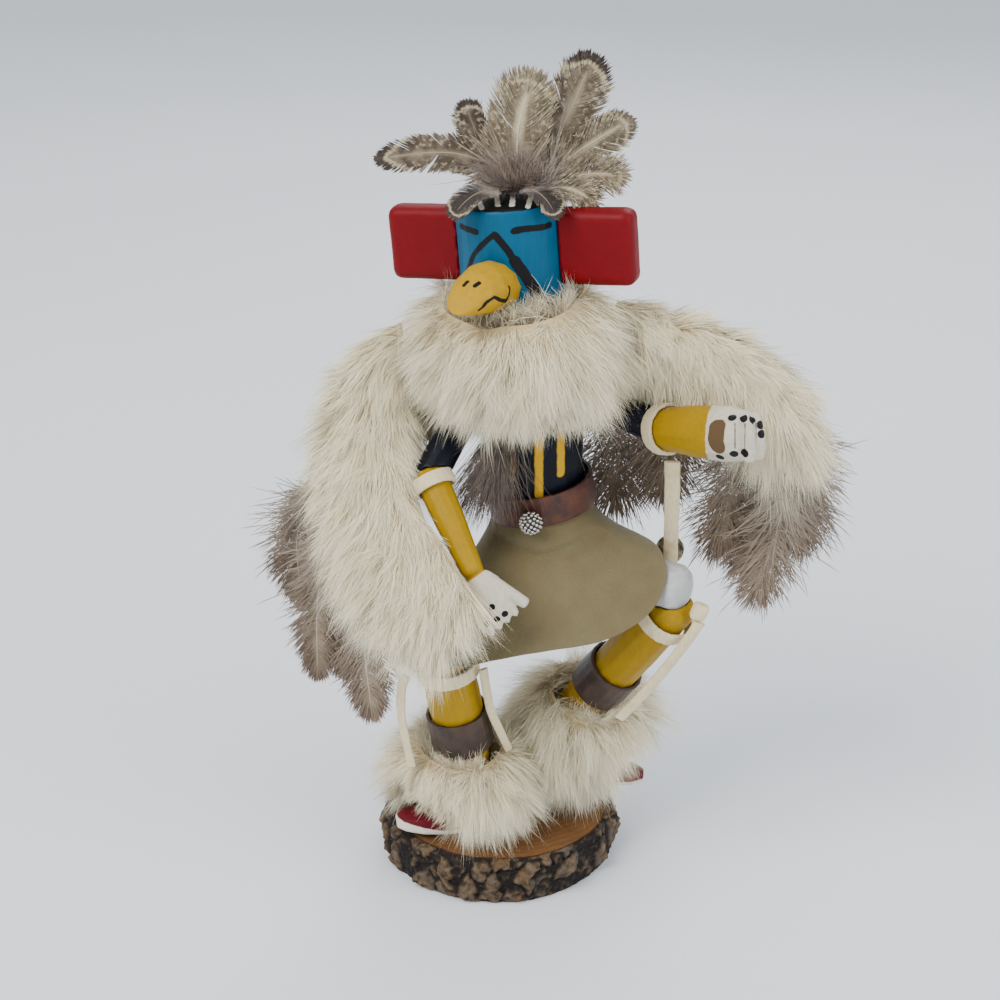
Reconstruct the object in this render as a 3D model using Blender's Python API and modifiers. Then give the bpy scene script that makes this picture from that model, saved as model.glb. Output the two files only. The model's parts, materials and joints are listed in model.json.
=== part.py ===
"""A painted kachina doll: an eagle dancer with fur wings on a slice of log.

The doll looks along -Y and stands on the XY plane, with +Z up and the origin at
the middle of the log slice's underside. Everything is in metres.
"""

import math

import bmesh
import bpy
from mathutils import Matrix, Vector

# The log slice
BASE_RADIUS = 0.0390
BASE_HEIGHT = 0.0160
BARK_RIDGE = 0.0009

# The figure: its pose and its sizes are steps of its own height, 1 mm each on the real doll
FIGURE_HEIGHT = 0.2045
POSE_STEPS = 204.5
STEP = FIGURE_HEIGHT / POSE_STEPS

# Clearance between two pieces that are glued or tied together
GAP = 0.0003
CLEARANCES = (1.0, 1.09, 1.21, 1.37, 1.55, 1.8, 2.1)

# Carved wood
TORSO_RADIUS = 14.1 * STEP
TORSO_CHEST = 16 * STEP
NECK_RADIUS = 9 * STEP
MASK_RADIUS = 16.2 * STEP
MASK_HEIGHT = 38.4 * STEP
MASK_TURN = math.radians(-21.0)
MASK_LEAN = math.radians(-4.5)
EAR_SPAN = 76.6 * STEP
EAR_HEIGHT = 22.4 * STEP
EAR_THICKNESS = 9 * STEP
EAR_ROUND = 2.8 * STEP
BEAK_RADIUS = 8.2 * STEP
UPPER_ARM_RADIUS = 5.2 * STEP
RIGHT_FOREARM_RADIUS = 5.2 * STEP
LEFT_FOREARM_RADIUS = 6.2 * STEP
FIST_RADIUS = 8.4 * STEP
FINGER_RADIUS = 1.8 * STEP
THIGH_RADIUS = 7.6 * STEP
SHIN_RADIUS = 8.4 * STEP
FOOT_WIDTH = 13 * STEP
FOOT_HEIGHT = 8.5 * STEP

# Leather, suede and metal
KILT_THICKNESS = 0.7 * STEP
BELT_HEIGHT = 9.5 * STEP
BELT_THICKNESS = 1.2 * STEP
BELT_TILT = math.radians(-3.5)
BEAD_RADIUS = 3.7 * STEP
BAND_THICKNESS = 1.1 * STEP
ARM_BAND_HEIGHT = 4.2 * STEP
SHIN_BAND_HEIGHT = 13 * STEP
KNEE_TIE_HEIGHT = 4.6 * STEP
KNOT_SIZE = 5.2 * STEP
LACE_WIDTH = 3.6 * STEP
THONG_WIDTH = 4.8 * STEP
BELL_RADIUS = 4.6 * STEP
BELL_WALL = 0.7 * STEP
BELL_SLOT = 1.3 * STEP

# Fur, down and feathers
RUFF_RADIUS = 22.5 * STEP
RUFF_THICKNESS = 28 * STEP
RUFF_HEIGHT = 41 * STEP
RIGHT_WING_WIDTH = 35.5 * STEP
LEFT_WING_WIDTH = 28 * STEP
WING_THICKNESS = 18 * STEP
CUFF_RADIUS = 14.5 * STEP
RIGHT_CUFF_HEIGHT = 30 * STEP
LEFT_CUFF_HEIGHT = 43 * STEP
CUFF_THICKNESS = 21 * STEP
TUFT_RADIUS = 10.5 * STEP
FEATHER_THICKNESS = 0.8 * STEP

# Colours (red, green, blue) and roughness of each finish
TURQUOISE = ((0.010, 0.190, 0.350), 0.45)
RED = ((0.420, 0.004, 0.022), 0.45)
YELLOW = ((0.600, 0.330, 0.018), 0.45)
NAVY = ((0.004, 0.009, 0.025), 0.40)
WHITE = ((0.750, 0.750, 0.730), 0.55)
MAROON = ((0.130, 0.006, 0.012), 0.50)
LOG_WOOD = ((0.340, 0.165, 0.062), 0.70)
BROWN_HIDE = ((0.065, 0.022, 0.009), 0.45)
SUEDE = ((0.230, 0.200, 0.120), 0.90)
CREAM_LEATHER = ((0.640, 0.550, 0.360), 0.70)
WHITE_FUR = ((0.700, 0.620, 0.470), 0.90)
GREY_HAIR = ((0.060, 0.050, 0.050), 0.80)
BROWN_FEATHER = ((0.160, 0.120, 0.095), 0.80)
DARK_FEATHER = ((0.050, 0.032, 0.024), 0.80)
SILVER = ((0.560, 0.540, 0.500), 0.35)
BRASS = ((0.450, 0.330, 0.140), 0.40)

for leftover in list(bpy.data.objects):
    bpy.data.objects.remove(leftover)

DOLL = bpy.data.collections.new("kachina doll")
bpy.context.scene.collection.children.link(DOLL)


def spot(x, y, z):
    """A place in the pose: steps from the middle of the log slice's top."""
    return Vector((x, y, z)) * STEP + Vector((0, 0, BASE_HEIGHT))


# Making and joining meshes


def finish_mesh(bm, name):
    """A mesh with no double points and its faces pointing out."""
    bmesh.ops.remove_doubles(bm, verts=bm.verts, dist=1e-6)
    bmesh.ops.recalc_face_normals(bm, faces=bm.faces)
    mesh = bpy.data.meshes.new(name)
    bm.to_mesh(mesh)
    bm.free()
    return mesh


def evaluated_mesh(obj):
    """The mesh that an object's curve or modifiers make, closed at its caps."""
    bpy.context.view_layer.update()
    graph = bpy.context.evaluated_depsgraph_get()
    made = bpy.data.meshes.new_from_object(obj.evaluated_get(graph))
    bm = bmesh.new()
    bm.from_mesh(made)
    bm.transform(obj.matrix_world)
    bpy.data.objects.remove(obj)
    return finish_mesh(bm, made.name)


def helper(mesh, name="helper"):
    """An object that is only used while another one is made."""
    obj = bpy.data.objects.new(name, mesh)
    bpy.context.scene.collection.objects.link(obj)
    return obj


def piece(name, mesh, finish, metallic=0.0, smooth=True):
    """A finished piece of the doll, with its own material."""
    obj = bpy.data.objects.new(name, mesh)
    DOLL.objects.link(obj)
    colour, roughness = finish
    material = bpy.data.materials.new(name)
    material.use_nodes = True
    shader = material.node_tree.nodes["Principled BSDF"]
    shader.inputs["Base Color"].default_value = (*colour, 1)
    shader.inputs["Roughness"].default_value = roughness
    shader.inputs["Metallic"].default_value = metallic
    material.diffuse_color = (*colour, 1)
    mesh.materials.clear()
    mesh.materials.append(material)
    if smooth:
        mesh.shade_smooth()
        mesh.set_sharp_from_angle(angle=math.radians(40))
    return obj


def combined(mesh, tools, operation):
    """A mesh after a union with, or a cut by, each of the tools."""
    body = helper(mesh)
    cutters = []
    for tool in tools:
        cutter = helper(tool)
        cutters.append(cutter)
        step = body.modifiers.new("combine", "BOOLEAN")
        step.operation = operation
        step.solver = "EXACT"
        step.object = cutter
    result = evaluated_mesh(body)
    for cutter in cutters:
        bpy.data.objects.remove(cutter)
    return result


def grown(mesh, by=GAP):
    """A copy of a mesh with its surface moved outwards."""
    bm = bmesh.new()
    bm.from_mesh(mesh)
    bm.normal_update()
    moves = [(v, v.normal * by * min(v.calc_shell_factor(), 2.0)) for v in bm.verts]
    for vertex, move in moves:
        vertex.co += move
    copy = bpy.data.meshes.new(mesh.name)
    bm.to_mesh(copy)
    bm.free()
    return copy


def largest_body(mesh):
    """The mesh without the crumbs that a cut leaves beside its main body."""
    bm = bmesh.new()
    bm.from_mesh(mesh)
    bmesh.ops.dissolve_degenerate(bm, dist=1e-6, edges=bm.edges)
    bodies = []
    waiting = set(bm.verts)
    while waiting:
        body = set()
        front = [waiting.pop()]
        while front:
            vertex = front.pop()
            body.add(vertex)
            for edge in vertex.link_edges:
                other = edge.other_vert(vertex)
                if other in waiting:
                    waiting.discard(other)
                    front.append(other)
        bodies.append(body)
    bodies.sort(key=len)
    crumbs = [vertex for body in bodies[:-1] for vertex in body]
    bmesh.ops.delete(bm, geom=crumbs, context="VERTS")
    return finish_mesh(bm, mesh.name)


def solid_volume(mesh):
    """The volume of a closed mesh, or 0 for one with a hole or a torn edge."""
    bm = bmesh.new()
    bm.from_mesh(mesh)
    whole = all(edge.is_manifold for edge in bm.edges) and all(vert.is_manifold for vert in bm.verts)
    volume = bm.calc_volume() if whole else 0.0
    bm.free()
    return volume


def clear_of(mesh, *neighbours):
    """A mesh cut back from each neighbour in turn, so that it touches none of them.

    A cut that leaves a torn surface is made again with a slightly wider clearance.
    """
    for neighbour in neighbours:
        before = solid_volume(mesh)
        for share in CLEARANCES:
            cut = largest_body(combined(mesh.copy(), [grown(neighbour, GAP * share)], "DIFFERENCE"))
            if 0.1 * before < solid_volume(cut) < before * 1.001:
                break
        mesh = cut
    return mesh


# Shapes


def smooth_path(points, count):
    """Points at even shares of a smooth curve through the given points."""
    knots = [points[0] * 2 - points[1], *points, points[-1] * 2 - points[-2]]
    path = []
    for i in range(count):
        share = i / (count - 1) * (len(points) - 1)
        k = min(int(share), len(points) - 2)
        t = share - k
        a, b, c, d = knots[k : k + 4]
        straight = 2 * b + (c - a) * t
        curved = (2 * a - 5 * b + 4 * c - d) * t**2 + (3 * b - a - 3 * c + d) * t**3
        path.append((straight + curved) / 2)
    return path


def between(values, share):
    """The value at a share of the way along evenly spaced values."""
    place = share * (len(values) - 1)
    k = min(int(place), len(values) - 2)
    return values[k] + (values[k + 1] - values[k]) * (place - k)


def rounded_run(path, radii):
    """A path and radii with both ends drawn in to a blunt round."""
    run = []
    for end, near, radius in ((path[0], path[1], radii[0]), (path[-1], path[-2], radii[-1])):
        outward = (end - near).normalized()
        tip = (end + outward * radius * 0.42, radius * 0.45)
        shoulder = (end + outward * radius * 0.25, radius * 0.82)
        run.append([tip, shoulder])
    inner = list(zip(path, radii))
    return run[0] + inner + run[1][::-1]


def tube(path, radii, resolution=6, round_ends=False):
    """A closed tube along a path, with a radius at each point."""
    run = rounded_run(path, radii) if round_ends else list(zip(path, radii))
    curve = bpy.data.curves.new("tube", "CURVE")
    curve.dimensions = "3D"
    curve.bevel_depth = 1.0
    curve.bevel_resolution = resolution
    curve.use_fill_caps = True
    spline = curve.splines.new("POLY")
    spline.points.add(len(run) - 1)
    for point, (place, radius) in zip(spline.points, run):
        point.co = (*place, 1)
        point.radius = radius
    return evaluated_mesh(helper(curve))


def turned(profile, start, direction, turn=0.0, steps=32):
    """A turned solid: (radius, height) pairs from its top down, on an axis."""
    bm = bmesh.new()
    points = [bm.verts.new((radius, 0, height)) for radius, height in profile]
    for a, b in zip(points, points[1:]):
        bm.edges.new((a, b))
    if profile[0][0] > 0:
        bm.edges.new((points[-1], points[0]))
    mesh = bpy.data.meshes.new("turned")
    bm.to_mesh(mesh)
    bm.free()
    obj = helper(mesh)
    obj.matrix_world = Matrix.Translation(start) @ upright_to(direction) @ Matrix.Rotation(turn, 4, "Z")
    screw = obj.modifiers.new("turn", "SCREW")
    screw.steps = steps
    screw.render_steps = steps
    screw.use_merge_vertices = True
    screw.merge_threshold = 0.00001
    return evaluated_mesh(obj)


def upright_to(direction):
    """The rotation that stands +Z along a direction."""
    return direction.to_track_quat("Z", "Y").to_matrix().to_4x4()


def ball(centre, radii, segments=16, rings=10, turn=None):
    """A ball or an egg-shaped solid."""
    bm = bmesh.new()
    bmesh.ops.create_uvsphere(bm, u_segments=segments, v_segments=rings, radius=1)
    place = Matrix.Translation(centre) @ (turn or Matrix.Identity(4)) @ Matrix.Diagonal((*radii, 1))
    bm.transform(place)
    return finish_mesh(bm, "ball")


def block(size, place, rounding, segments=3):
    """A box with rounded edges."""
    bm = bmesh.new()
    bmesh.ops.create_cube(bm, size=1)
    bm.transform(Matrix.Diagonal((*size, 1)))
    bmesh.ops.bevel(
        bm,
        geom=bm.edges,
        offset=rounding,
        segments=segments,
        profile=0.5,
        affect="EDGES",
    )
    bm.transform(place)
    return finish_mesh(bm, "block")


def loft(sections, closed=False):
    """A solid through rings of points, each with as many points as the next."""
    bm = bmesh.new()
    rings = [[bm.verts.new(point) for point in section] for section in sections]
    pairs = list(zip(rings, rings[1:]))
    if closed:
        pairs.append((rings[-1], rings[0]))
    for low, high in pairs:
        for i in range(len(low)):
            j = (i + 1) % len(low)
            bm.faces.new((low[i], low[j], high[j], high[i]))
    if not closed:
        bm.faces.new(rings[0])
        bm.faces.new(rings[-1])
    return finish_mesh(bm, "loft")


def oval(centre, across, up, points=12):
    """A ring of points on an oval with two half-axes."""
    turns = (math.tau * i / points for i in range(points))
    return [centre + across * math.cos(a) + up * math.sin(a) for a in turns]


def fat_strip(points, widths, thicknesses, facing, stations=9, sides=12):
    """A strip of fur: an oval section that follows a smooth path."""
    path = smooth_path(points, stations)
    sections = []
    for i, place in enumerate(path):
        along = (path[min(i + 1, stations - 1)] - path[max(i - 1, 0)]).normalized()
        across = along.cross(facing).normalized()
        out = across.cross(along)
        share = i / (stations - 1)
        width = between(widths, share)
        thickness = between(thicknesses, share)
        sections.append(oval(place, across * width / 2, out * thickness / 2, sides))
    return loft(sections)


FEATHER_ROOT = 0.35
FEATHER_TIP = 0.45
FEATHER_WIDEST = 0.62


def feather(points, width, facing, stations=6):
    """A feather: a thin curved blade, widest a little past its middle."""
    path = smooth_path(points, stations)
    sections = []
    for i, place in enumerate(path):
        along = (path[min(i + 1, stations - 1)] - path[max(i - 1, 0)]).normalized()
        across = along.cross(facing).normalized()
        out = across.cross(along)
        share = i / (stations - 1)
        grown_in = min(share / FEATHER_WIDEST, 1)
        drawn_in = max((share - FEATHER_WIDEST) / (1 - FEATHER_WIDEST), 0)
        swell = FEATHER_ROOT + (1 - FEATHER_ROOT) * math.sin(math.pi * grown_in / 2)
        half = width / 2 * swell * (1 - (1 - FEATHER_TIP) * drawn_in**2)
        thick = FEATHER_THICKNESS / 2
        edge = thick * 0.5
        outline = [(-half, -edge), (0, -thick), (half, -edge), (half, edge), (0, thick), (-half, edge)]
        sections.append([place + across * a + out * b for a, b in outline])
    return loft(sections)


# The log slice


def bark_edge(angle):
    """How far the bark stands out at an angle, as a share of the radius."""
    slow = 0.013 * math.sin(2 * angle + 0.6) + 0.008 * math.sin(5 * angle + 2.1)
    return 1 + slow


def make_base():
    edge = BASE_RADIUS
    wood = BASE_RADIUS * 0.925
    profile = [
        (0, BASE_HEIGHT),
        (wood, BASE_HEIGHT),
        (edge * 0.985, BASE_HEIGHT * 0.97),
        (edge * 1.010, BASE_HEIGHT * 0.72),
        (edge * 1.000, BASE_HEIGHT * 0.38),
        (edge * 0.985, BASE_HEIGHT * 0.12),
        (edge * 0.950, 0),
        (0, 0),
    ]
    mesh = turned(profile, Vector((0, 0, 0)), Vector((0, 0, 1)), steps=40)
    for vertex in mesh.vertices:
        radius = math.hypot(vertex.co.x, vertex.co.y)
        if radius > 0.5 * wood:
            angle = math.atan2(vertex.co.y, vertex.co.x)
            outer = bark_edge(angle)
            if 0.001 < vertex.co.z < BASE_HEIGHT * 0.99:
                outer += BARK_RIDGE / BASE_RADIUS * math.sin(13 * angle + 260 * vertex.co.z)
            vertex.co.x *= outer
            vertex.co.y *= outer
    return mesh


# The torso and the mask

PELVIS = spot(15.9, 0, 87)
HEAD_FOOT = spot(5.6, 0, 166.3)
SPINE = (HEAD_FOOT - PELVIS).normalized()
WAIST = PELVIS + SPINE * 24.5 * STEP
MASK_AXIS = Vector((math.sin(MASK_LEAN), 0, math.cos(MASK_LEAN)))
MASK_CENTRE = HEAD_FOOT + MASK_AXIS * MASK_HEIGHT / 2
FACE = Matrix.Rotation(MASK_TURN, 3, "Z") @ Vector((0, -1, 0))
MASK_SIDE = MASK_AXIS.cross(FACE).normalized()


def make_torso():
    length = (HEAD_FOOT - PELVIS).length - GAP - NECK_RADIUS * math.sin(SPINE.angle(MASK_AXIS))
    profile = [
        (0, length),
        (NECK_RADIUS, length),
        (NECK_RADIUS, length * 0.94),
        (TORSO_CHEST * 0.86, length * 0.87),
        (TORSO_CHEST, length * 0.74),
        (TORSO_CHEST * 0.99, length * 0.58),
        (TORSO_RADIUS, length * 0.42),
        (TORSO_RADIUS, length * 0.16),
        (TORSO_RADIUS * 0.88, length * 0.05),
        (TORSO_RADIUS * 0.60, 0),
        (0, 0),
    ]
    return turned(profile, PELVIS, SPINE, steps=20)


def make_mask():
    edge = 1.2 * STEP
    profile = [
        (0, MASK_HEIGHT),
        (MASK_RADIUS - edge, MASK_HEIGHT),
        (MASK_RADIUS - edge * 0.3, MASK_HEIGHT - edge * 0.3),
        (MASK_RADIUS, MASK_HEIGHT - edge),
        (MASK_RADIUS, edge),
        (MASK_RADIUS - edge, 0),
        (0, 0),
    ]
    return turned(profile, HEAD_FOOT, MASK_AXIS, steps=28)


def make_ear(side, mask):
    """One of the two tabs beside the mask: side is 1 at the doll's left."""
    inner = MASK_RADIUS * 0.80
    length = EAR_SPAN / 2 - inner
    middle = MASK_CENTRE + MASK_AXIS * 5.0 * STEP + MASK_SIDE * side * (inner + length / 2)
    frame = Matrix((MASK_SIDE, MASK_AXIS.cross(MASK_SIDE), MASK_AXIS)).transposed().to_4x4()
    place = Matrix.Translation(middle) @ frame
    return clear_of(block((length, EAR_THICKNESS, EAR_HEIGHT), place, EAR_ROUND), mask)


def make_beak(mask):
    """The hooked beak, on the front of the mask."""
    root = MASK_CENTRE + FACE * MASK_RADIUS - MASK_AXIS * 3.4 * STEP
    shape = [
        (-3.0, -0.6, 0.0, 1.00),
        (3.0, 0.4, 0.4, 1.02),
        (8.5, 1.4, 1.0, 0.98),
        (13.5, 1.5, 1.9, 0.86),
        (17.5, 0.8, 2.7, 0.66),
        (19.8, -0.3, 3.2, 0.42),
        (20.8, -1.2, 3.4, 0.20),
    ]
    sections = []
    for forward, rise, bend, size in shape:
        centre = root + (FACE * forward + MASK_AXIS * rise - MASK_SIDE * bend) * STEP
        tilt = Matrix.Rotation(-math.radians(max(forward, 0) * 2.4), 3, MASK_SIDE)
        half = BEAK_RADIUS * size * 0.93
        sections.append(oval(centre, MASK_SIDE * half, tilt @ MASK_AXIS * half, 12))
    return clear_of(loft(sections), mask)


# Arms and legs

RIGHT_SHOULDER = spot(-7, -1, 146)
RIGHT_ELBOW = spot(-20.8, -22, 125.5)
RIGHT_WRIST = spot(-8.0, -40, 102.5)
RIGHT_PALM = spot(-3.0, -43.0, 96.0)
LEFT_SHOULDER = spot(20, -1, 146)
LEFT_ELBOW = spot(48, -14, 137.6)
LEFT_WRIST = spot(62.5, -35, 144.2)
LEFT_FIST = spot(69, -43.5, 146.6)
RIGHT_HIP = spot(6, -2, 92)
RIGHT_KNEE = spot(-17, -20, 64)
RIGHT_ANKLE = spot(-8.5, -13.5, 11)
LEFT_HIP = spot(20, 0, 89)
LEFT_KNEE = spot(54, -24.5, 89.5)
LEFT_KNEE_BELOW = spot(53.5, -24.5, 84)
LEFT_ANKLE = spot(11.5, 12.5, 11)


def limb(points, radii, stations=5, resolution=4):
    """A round carved limb with blunt ends."""
    path = smooth_path(points, stations)
    sizes = [between(radii, i / (stations - 1)) for i in range(stations)]
    return tube(path, sizes, resolution, round_ends=True)


def make_right_forearm():
    """The lower right arm with its open hand, carved in one."""
    r = RIGHT_FOREARM_RADIUS
    arm = limb([RIGHT_ELBOW, RIGHT_WRIST], [r, r * 0.88, r * 0.66], 5)
    down = (RIGHT_PALM - RIGHT_WRIST).normalized()
    across = Vector((0.86, -0.10, 0.16)).normalized()
    across = (across - down * across.dot(down)).normalized()
    out = down.cross(across)
    turn = Matrix((across, out, down)).transposed().to_4x4()
    palm = ball(RIGHT_PALM, (6.0 * STEP, 3.2 * STEP, 9.0 * STEP), 12, 8, turn)
    parts = [palm]
    for i in range(4):
        shift = across * (i - 1.9) * 3.0 * STEP
        knuckle = RIGHT_PALM + shift + down * 4.0 * STEP
        tip = RIGHT_PALM + shift * 1.05 + down * (8.6 - 0.5 * i) * STEP
        parts.append(ball(knuckle.lerp(tip, 0.5), (FINGER_RADIUS, FINGER_RADIUS, 4.0 * STEP), 7, 4, turn))
    thumb_root = RIGHT_PALM + (across * 3.4 - down * 2.0) * STEP
    thumb_tip = RIGHT_PALM + (across * 7.6 + down * 7.6) * STEP
    parts.append(limb([thumb_root, thumb_tip], [FINGER_RADIUS * 1.3, FINGER_RADIUS], 2, 2))
    return largest_body(combined(arm, parts, "UNION"))


def make_left_forearm():
    """The lower left arm with its fist, carved in one."""
    arm = limb(
        [LEFT_ELBOW, LEFT_WRIST, LEFT_FIST],
        [LEFT_FOREARM_RADIUS, FIST_RADIUS * 0.93, FIST_RADIUS * 0.98, FIST_RADIUS * 0.86],
        7,
    )
    forward = (LEFT_FIST - LEFT_WRIST).normalized()
    side = forward.cross(Vector((0, 0, 1))).normalized()
    up = side.cross(forward)
    parts = []
    for i in range(4):
        offset = side * (i - 1.5) * 3.5 * STEP + forward * 1.2 * STEP
        arc = []
        for k in range(5):
            bend = math.radians(-62 + 124 * k / 4)
            reach = FIST_RADIUS * (0.90 - 0.05 * abs(i - 1.5))
            out = up * math.sin(bend) + forward * math.cos(bend) * 0.42
            arc.append(LEFT_FIST + offset + out * reach)
        parts.append(tube(arc, [FINGER_RADIUS * 0.96] * 5, 2))
    return largest_body(combined(arm, parts, "UNION"))


def make_foot(heel, toe, lift):
    """A moccasin: flat under the heel, with the toe a little raised."""
    along = toe - heel
    forward = along.normalized()
    side = Vector((0, 0, 1)).cross(forward)
    shape = [
        (0.00, 0.50, 0.62, 0.0),
        (0.06, 0.78, 0.92, 0.0),
        (0.25, 0.90, 1.00, 0.0),
        (0.50, 0.98, 0.96, 0.0),
        (0.74, 1.00, 0.80, 0.35),
        (0.92, 0.82, 0.62, 0.80),
        (1.00, 0.46, 0.36, 1.05),
    ]
    profile = [(-0.36, 0.0), (0.36, 0.0), (0.50, 0.16), (0.49, 0.42), (0.38, 0.78), (0.14, 1.0)]
    profile += [(-across, up) for across, up in profile[:1:-1]]
    sections = []
    for share, width, height, raised in shape:
        centre = heel + along * share + Vector((0, 0, raised * lift))
        section = []
        for across, up in profile:
            rise = Vector((0, 0, up * FOOT_HEIGHT * height))
            section.append(centre + side * across * FOOT_WIDTH * width + rise)
        sections.append(section)
    return loft(sections)


# Dress


def ring_band(centre, direction, inner, thickness, height, steps=20):
    """A band of leather round a limb."""
    half = height / 2
    outer = inner + thickness
    profile = [(outer, half), (outer, -half), (inner, -half), (inner, half)]
    return turned(profile, centre, direction, steps=steps)


KILT_TUCK = BELT_HEIGHT * 0.82 + 2 * TORSO_RADIUS * math.sin(abs(BELT_TILT))


def make_kilt():
    """The suede kilt: gathered under the belt, stiff and wide at its hem."""
    around = 28
    hem_points = [
        spot(48.5, -16.5, 101.0),
        spot(51.0, -30.4, 96.8),
        spot(46.5, -34.5, 86.5),
        spot(33.4, -37, 78.3),
        spot(21.0, -38, 75.6),
        spot(4.8, -38, 73.2),
        spot(-11.0, -36, 68.0),
        spot(-25.0, -31, 63.0),
        spot(-32.0, -17, 61.0),
        spot(-28.0, -1, 62.0),
        spot(-13.0, 13, 65.0),
        spot(6.0, 19, 70.0),
        spot(25.0, 17, 78.0),
        spot(39.0, 7, 91.0),
        spot(44.0, -5, 98.0),
    ]
    radius = TORSO_RADIUS + GAP + KILT_THICKNESS
    top = WAIST + SPINE * BELT_HEIGHT * 0.32
    frame = upright_to(SPINE)
    fine = 12
    knots = len(hem_points)
    wrapped = smooth_path(hem_points[-1:] + hem_points + hem_points[:2], (knots + 2) * fine + 1)
    loop = wrapped[fine : fine + knots * fine]
    local = [frame.inverted() @ (point - top) for point in loop]
    turns = [math.atan2(point.y, point.x) for point in local]
    round_trip = [(turns[0] - turn) % math.tau / math.tau for turn in turns]
    progress = [(k / len(loop) + share) / 2 for k, share in enumerate(round_trip)]
    hem = []
    waist = []
    for i in range(around):
        k = min(range(len(loop)), key=lambda n: abs(progress[n] - i / around))
        hem.append(loop[k])
        out = Vector((math.cos(turns[k]), math.sin(turns[k]), 0))
        waist.append(top + frame @ (out * radius))
    bm = bmesh.new()
    rows = []
    for share in (0.0, 0.16, 0.36, 0.66, 1.0):
        spread = 0.0 if share < 0.2 else (share - 0.16) / 0.84
        spread = spread**0.82
        row = []
        for high, low in zip(waist, hem):
            drop = -SPINE * KILT_TUCK * min(share / 0.16, 1)
            start_point = high + drop
            point = start_point.lerp(low, spread)
            row.append(bm.verts.new(point))
        rows.append(row)
    for high, low in zip(rows, rows[1:]):
        for i in range(around):
            j = (i + 1) % around
            bm.faces.new((high[i], high[j], low[j], low[i]))
    bmesh.ops.recalc_face_normals(bm, faces=bm.faces)
    mesh = bpy.data.meshes.new("kilt")
    bm.to_mesh(mesh)
    bm.free()
    obj = helper(mesh)
    wall = obj.modifiers.new("wall", "SOLIDIFY")
    wall.thickness = KILT_THICKNESS
    wall.offset = -1
    return evaluated_mesh(obj)


def make_bell(centre):
    """A round jingle bell: a thin hollow ball with a slot below."""
    shell = ball(centre, (BELL_RADIUS,) * 3, 12, 8)
    hollow = ball(centre, (BELL_RADIUS - BELL_WALL,) * 3, 10, 6)
    slot = block(
        (BELL_RADIUS * 3, BELL_SLOT, BELL_RADIUS),
        Matrix.Translation(centre - Vector((0, 0, BELL_RADIUS * 0.95))),
        BELL_SLOT * 0.2,
        1,
    )
    return largest_body(combined(shell, [hollow, slot], "DIFFERENCE"))


def lace(points, width, count):
    """A leather lace's solid: a plain tube along its route."""
    path = smooth_path([spot(*point) for point in points], count)
    return tube(path, [width / 2] * count, 2)


# Fur


def fur_ring(centre, direction, radius, thickness, height, stretch=(1, 1), steps=16, sides=8):
    """A ring of fur round the neck or an ankle, oval in section."""
    bm = bmesh.new()
    rings = []
    for i in range(steps):
        angle = math.tau * i / steps
        out = Vector((math.cos(angle) * stretch[0], math.sin(angle) * stretch[1], 0))
        section = oval(out * radius, out * thickness / 2, Vector((0, 0, height / 2)), sides)
        rings.append([bm.verts.new(point) for point in section])
    for i in range(steps):
        low, high = rings[i], rings[(i + 1) % steps]
        for k in range(sides):
            m = (k + 1) % sides
            bm.faces.new((low[k], low[m], high[m], high[k]))
    bm.transform(Matrix.Translation(centre) @ upright_to(direction))
    return finish_mesh(bm, "fur")


# Building the doll

base = make_base()
torso = make_torso()
mask = make_mask()
ears = {"right": make_ear(-1, mask), "left": make_ear(1, mask)}
beak = make_beak(mask)

piece("base_slice", base, LOG_WOOD)
piece("torso", torso, NAVY)
piece("mask", mask, TURQUOISE)
piece("ear_right", ears["right"], RED)
piece("ear_left", ears["left"], RED)
piece("beak", beak, YELLOW)

sole = Vector((0, 0, GAP))
feet = {
    "right": make_foot(spot(-0.5, -15.5, 0) + sole, spot(-33.5, -20.0, 0) + sole, 2.6 * STEP),
    "left": make_foot(spot(5.5, 14.5, 0) + sole, spot(48.5, 10.5, 0) + sole, 1.0 * STEP),
}
thighs = {
    "right": clear_of(limb([RIGHT_HIP, RIGHT_KNEE], [THIGH_RADIUS, THIGH_RADIUS]), torso),
    "left": clear_of(limb([LEFT_HIP, LEFT_KNEE], [THIGH_RADIUS, THIGH_RADIUS]), torso),
}
shin_sizes = [SHIN_RADIUS * share for share in (0.90, 1.0, 1.0, 0.86, 0.70)]
shins = {
    "right": limb([RIGHT_KNEE, RIGHT_ANKLE], [r * 1.02 for r in shin_sizes]),
    "left": limb([LEFT_KNEE_BELOW, LEFT_ANKLE], [r * 0.94 for r in shin_sizes]),
}
for side in ("right", "left"):
    shins[side] = clear_of(shins[side], thighs[side], feet[side])
    piece("moccasin_" + side, feet[side], MAROON)
    piece("thigh_" + side, thighs[side], WHITE)
    piece("shin_" + side, shins[side], YELLOW)

upper_arms = {
    "right": limb([RIGHT_SHOULDER, RIGHT_ELBOW], [UPPER_ARM_RADIUS] * 2),
    "left": limb([LEFT_SHOULDER, LEFT_ELBOW], [UPPER_ARM_RADIUS] * 2),
}
forearms = {"right": make_right_forearm(), "left": make_left_forearm()}

kilt = make_kilt()
piece("kilt", kilt, SUEDE)

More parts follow.
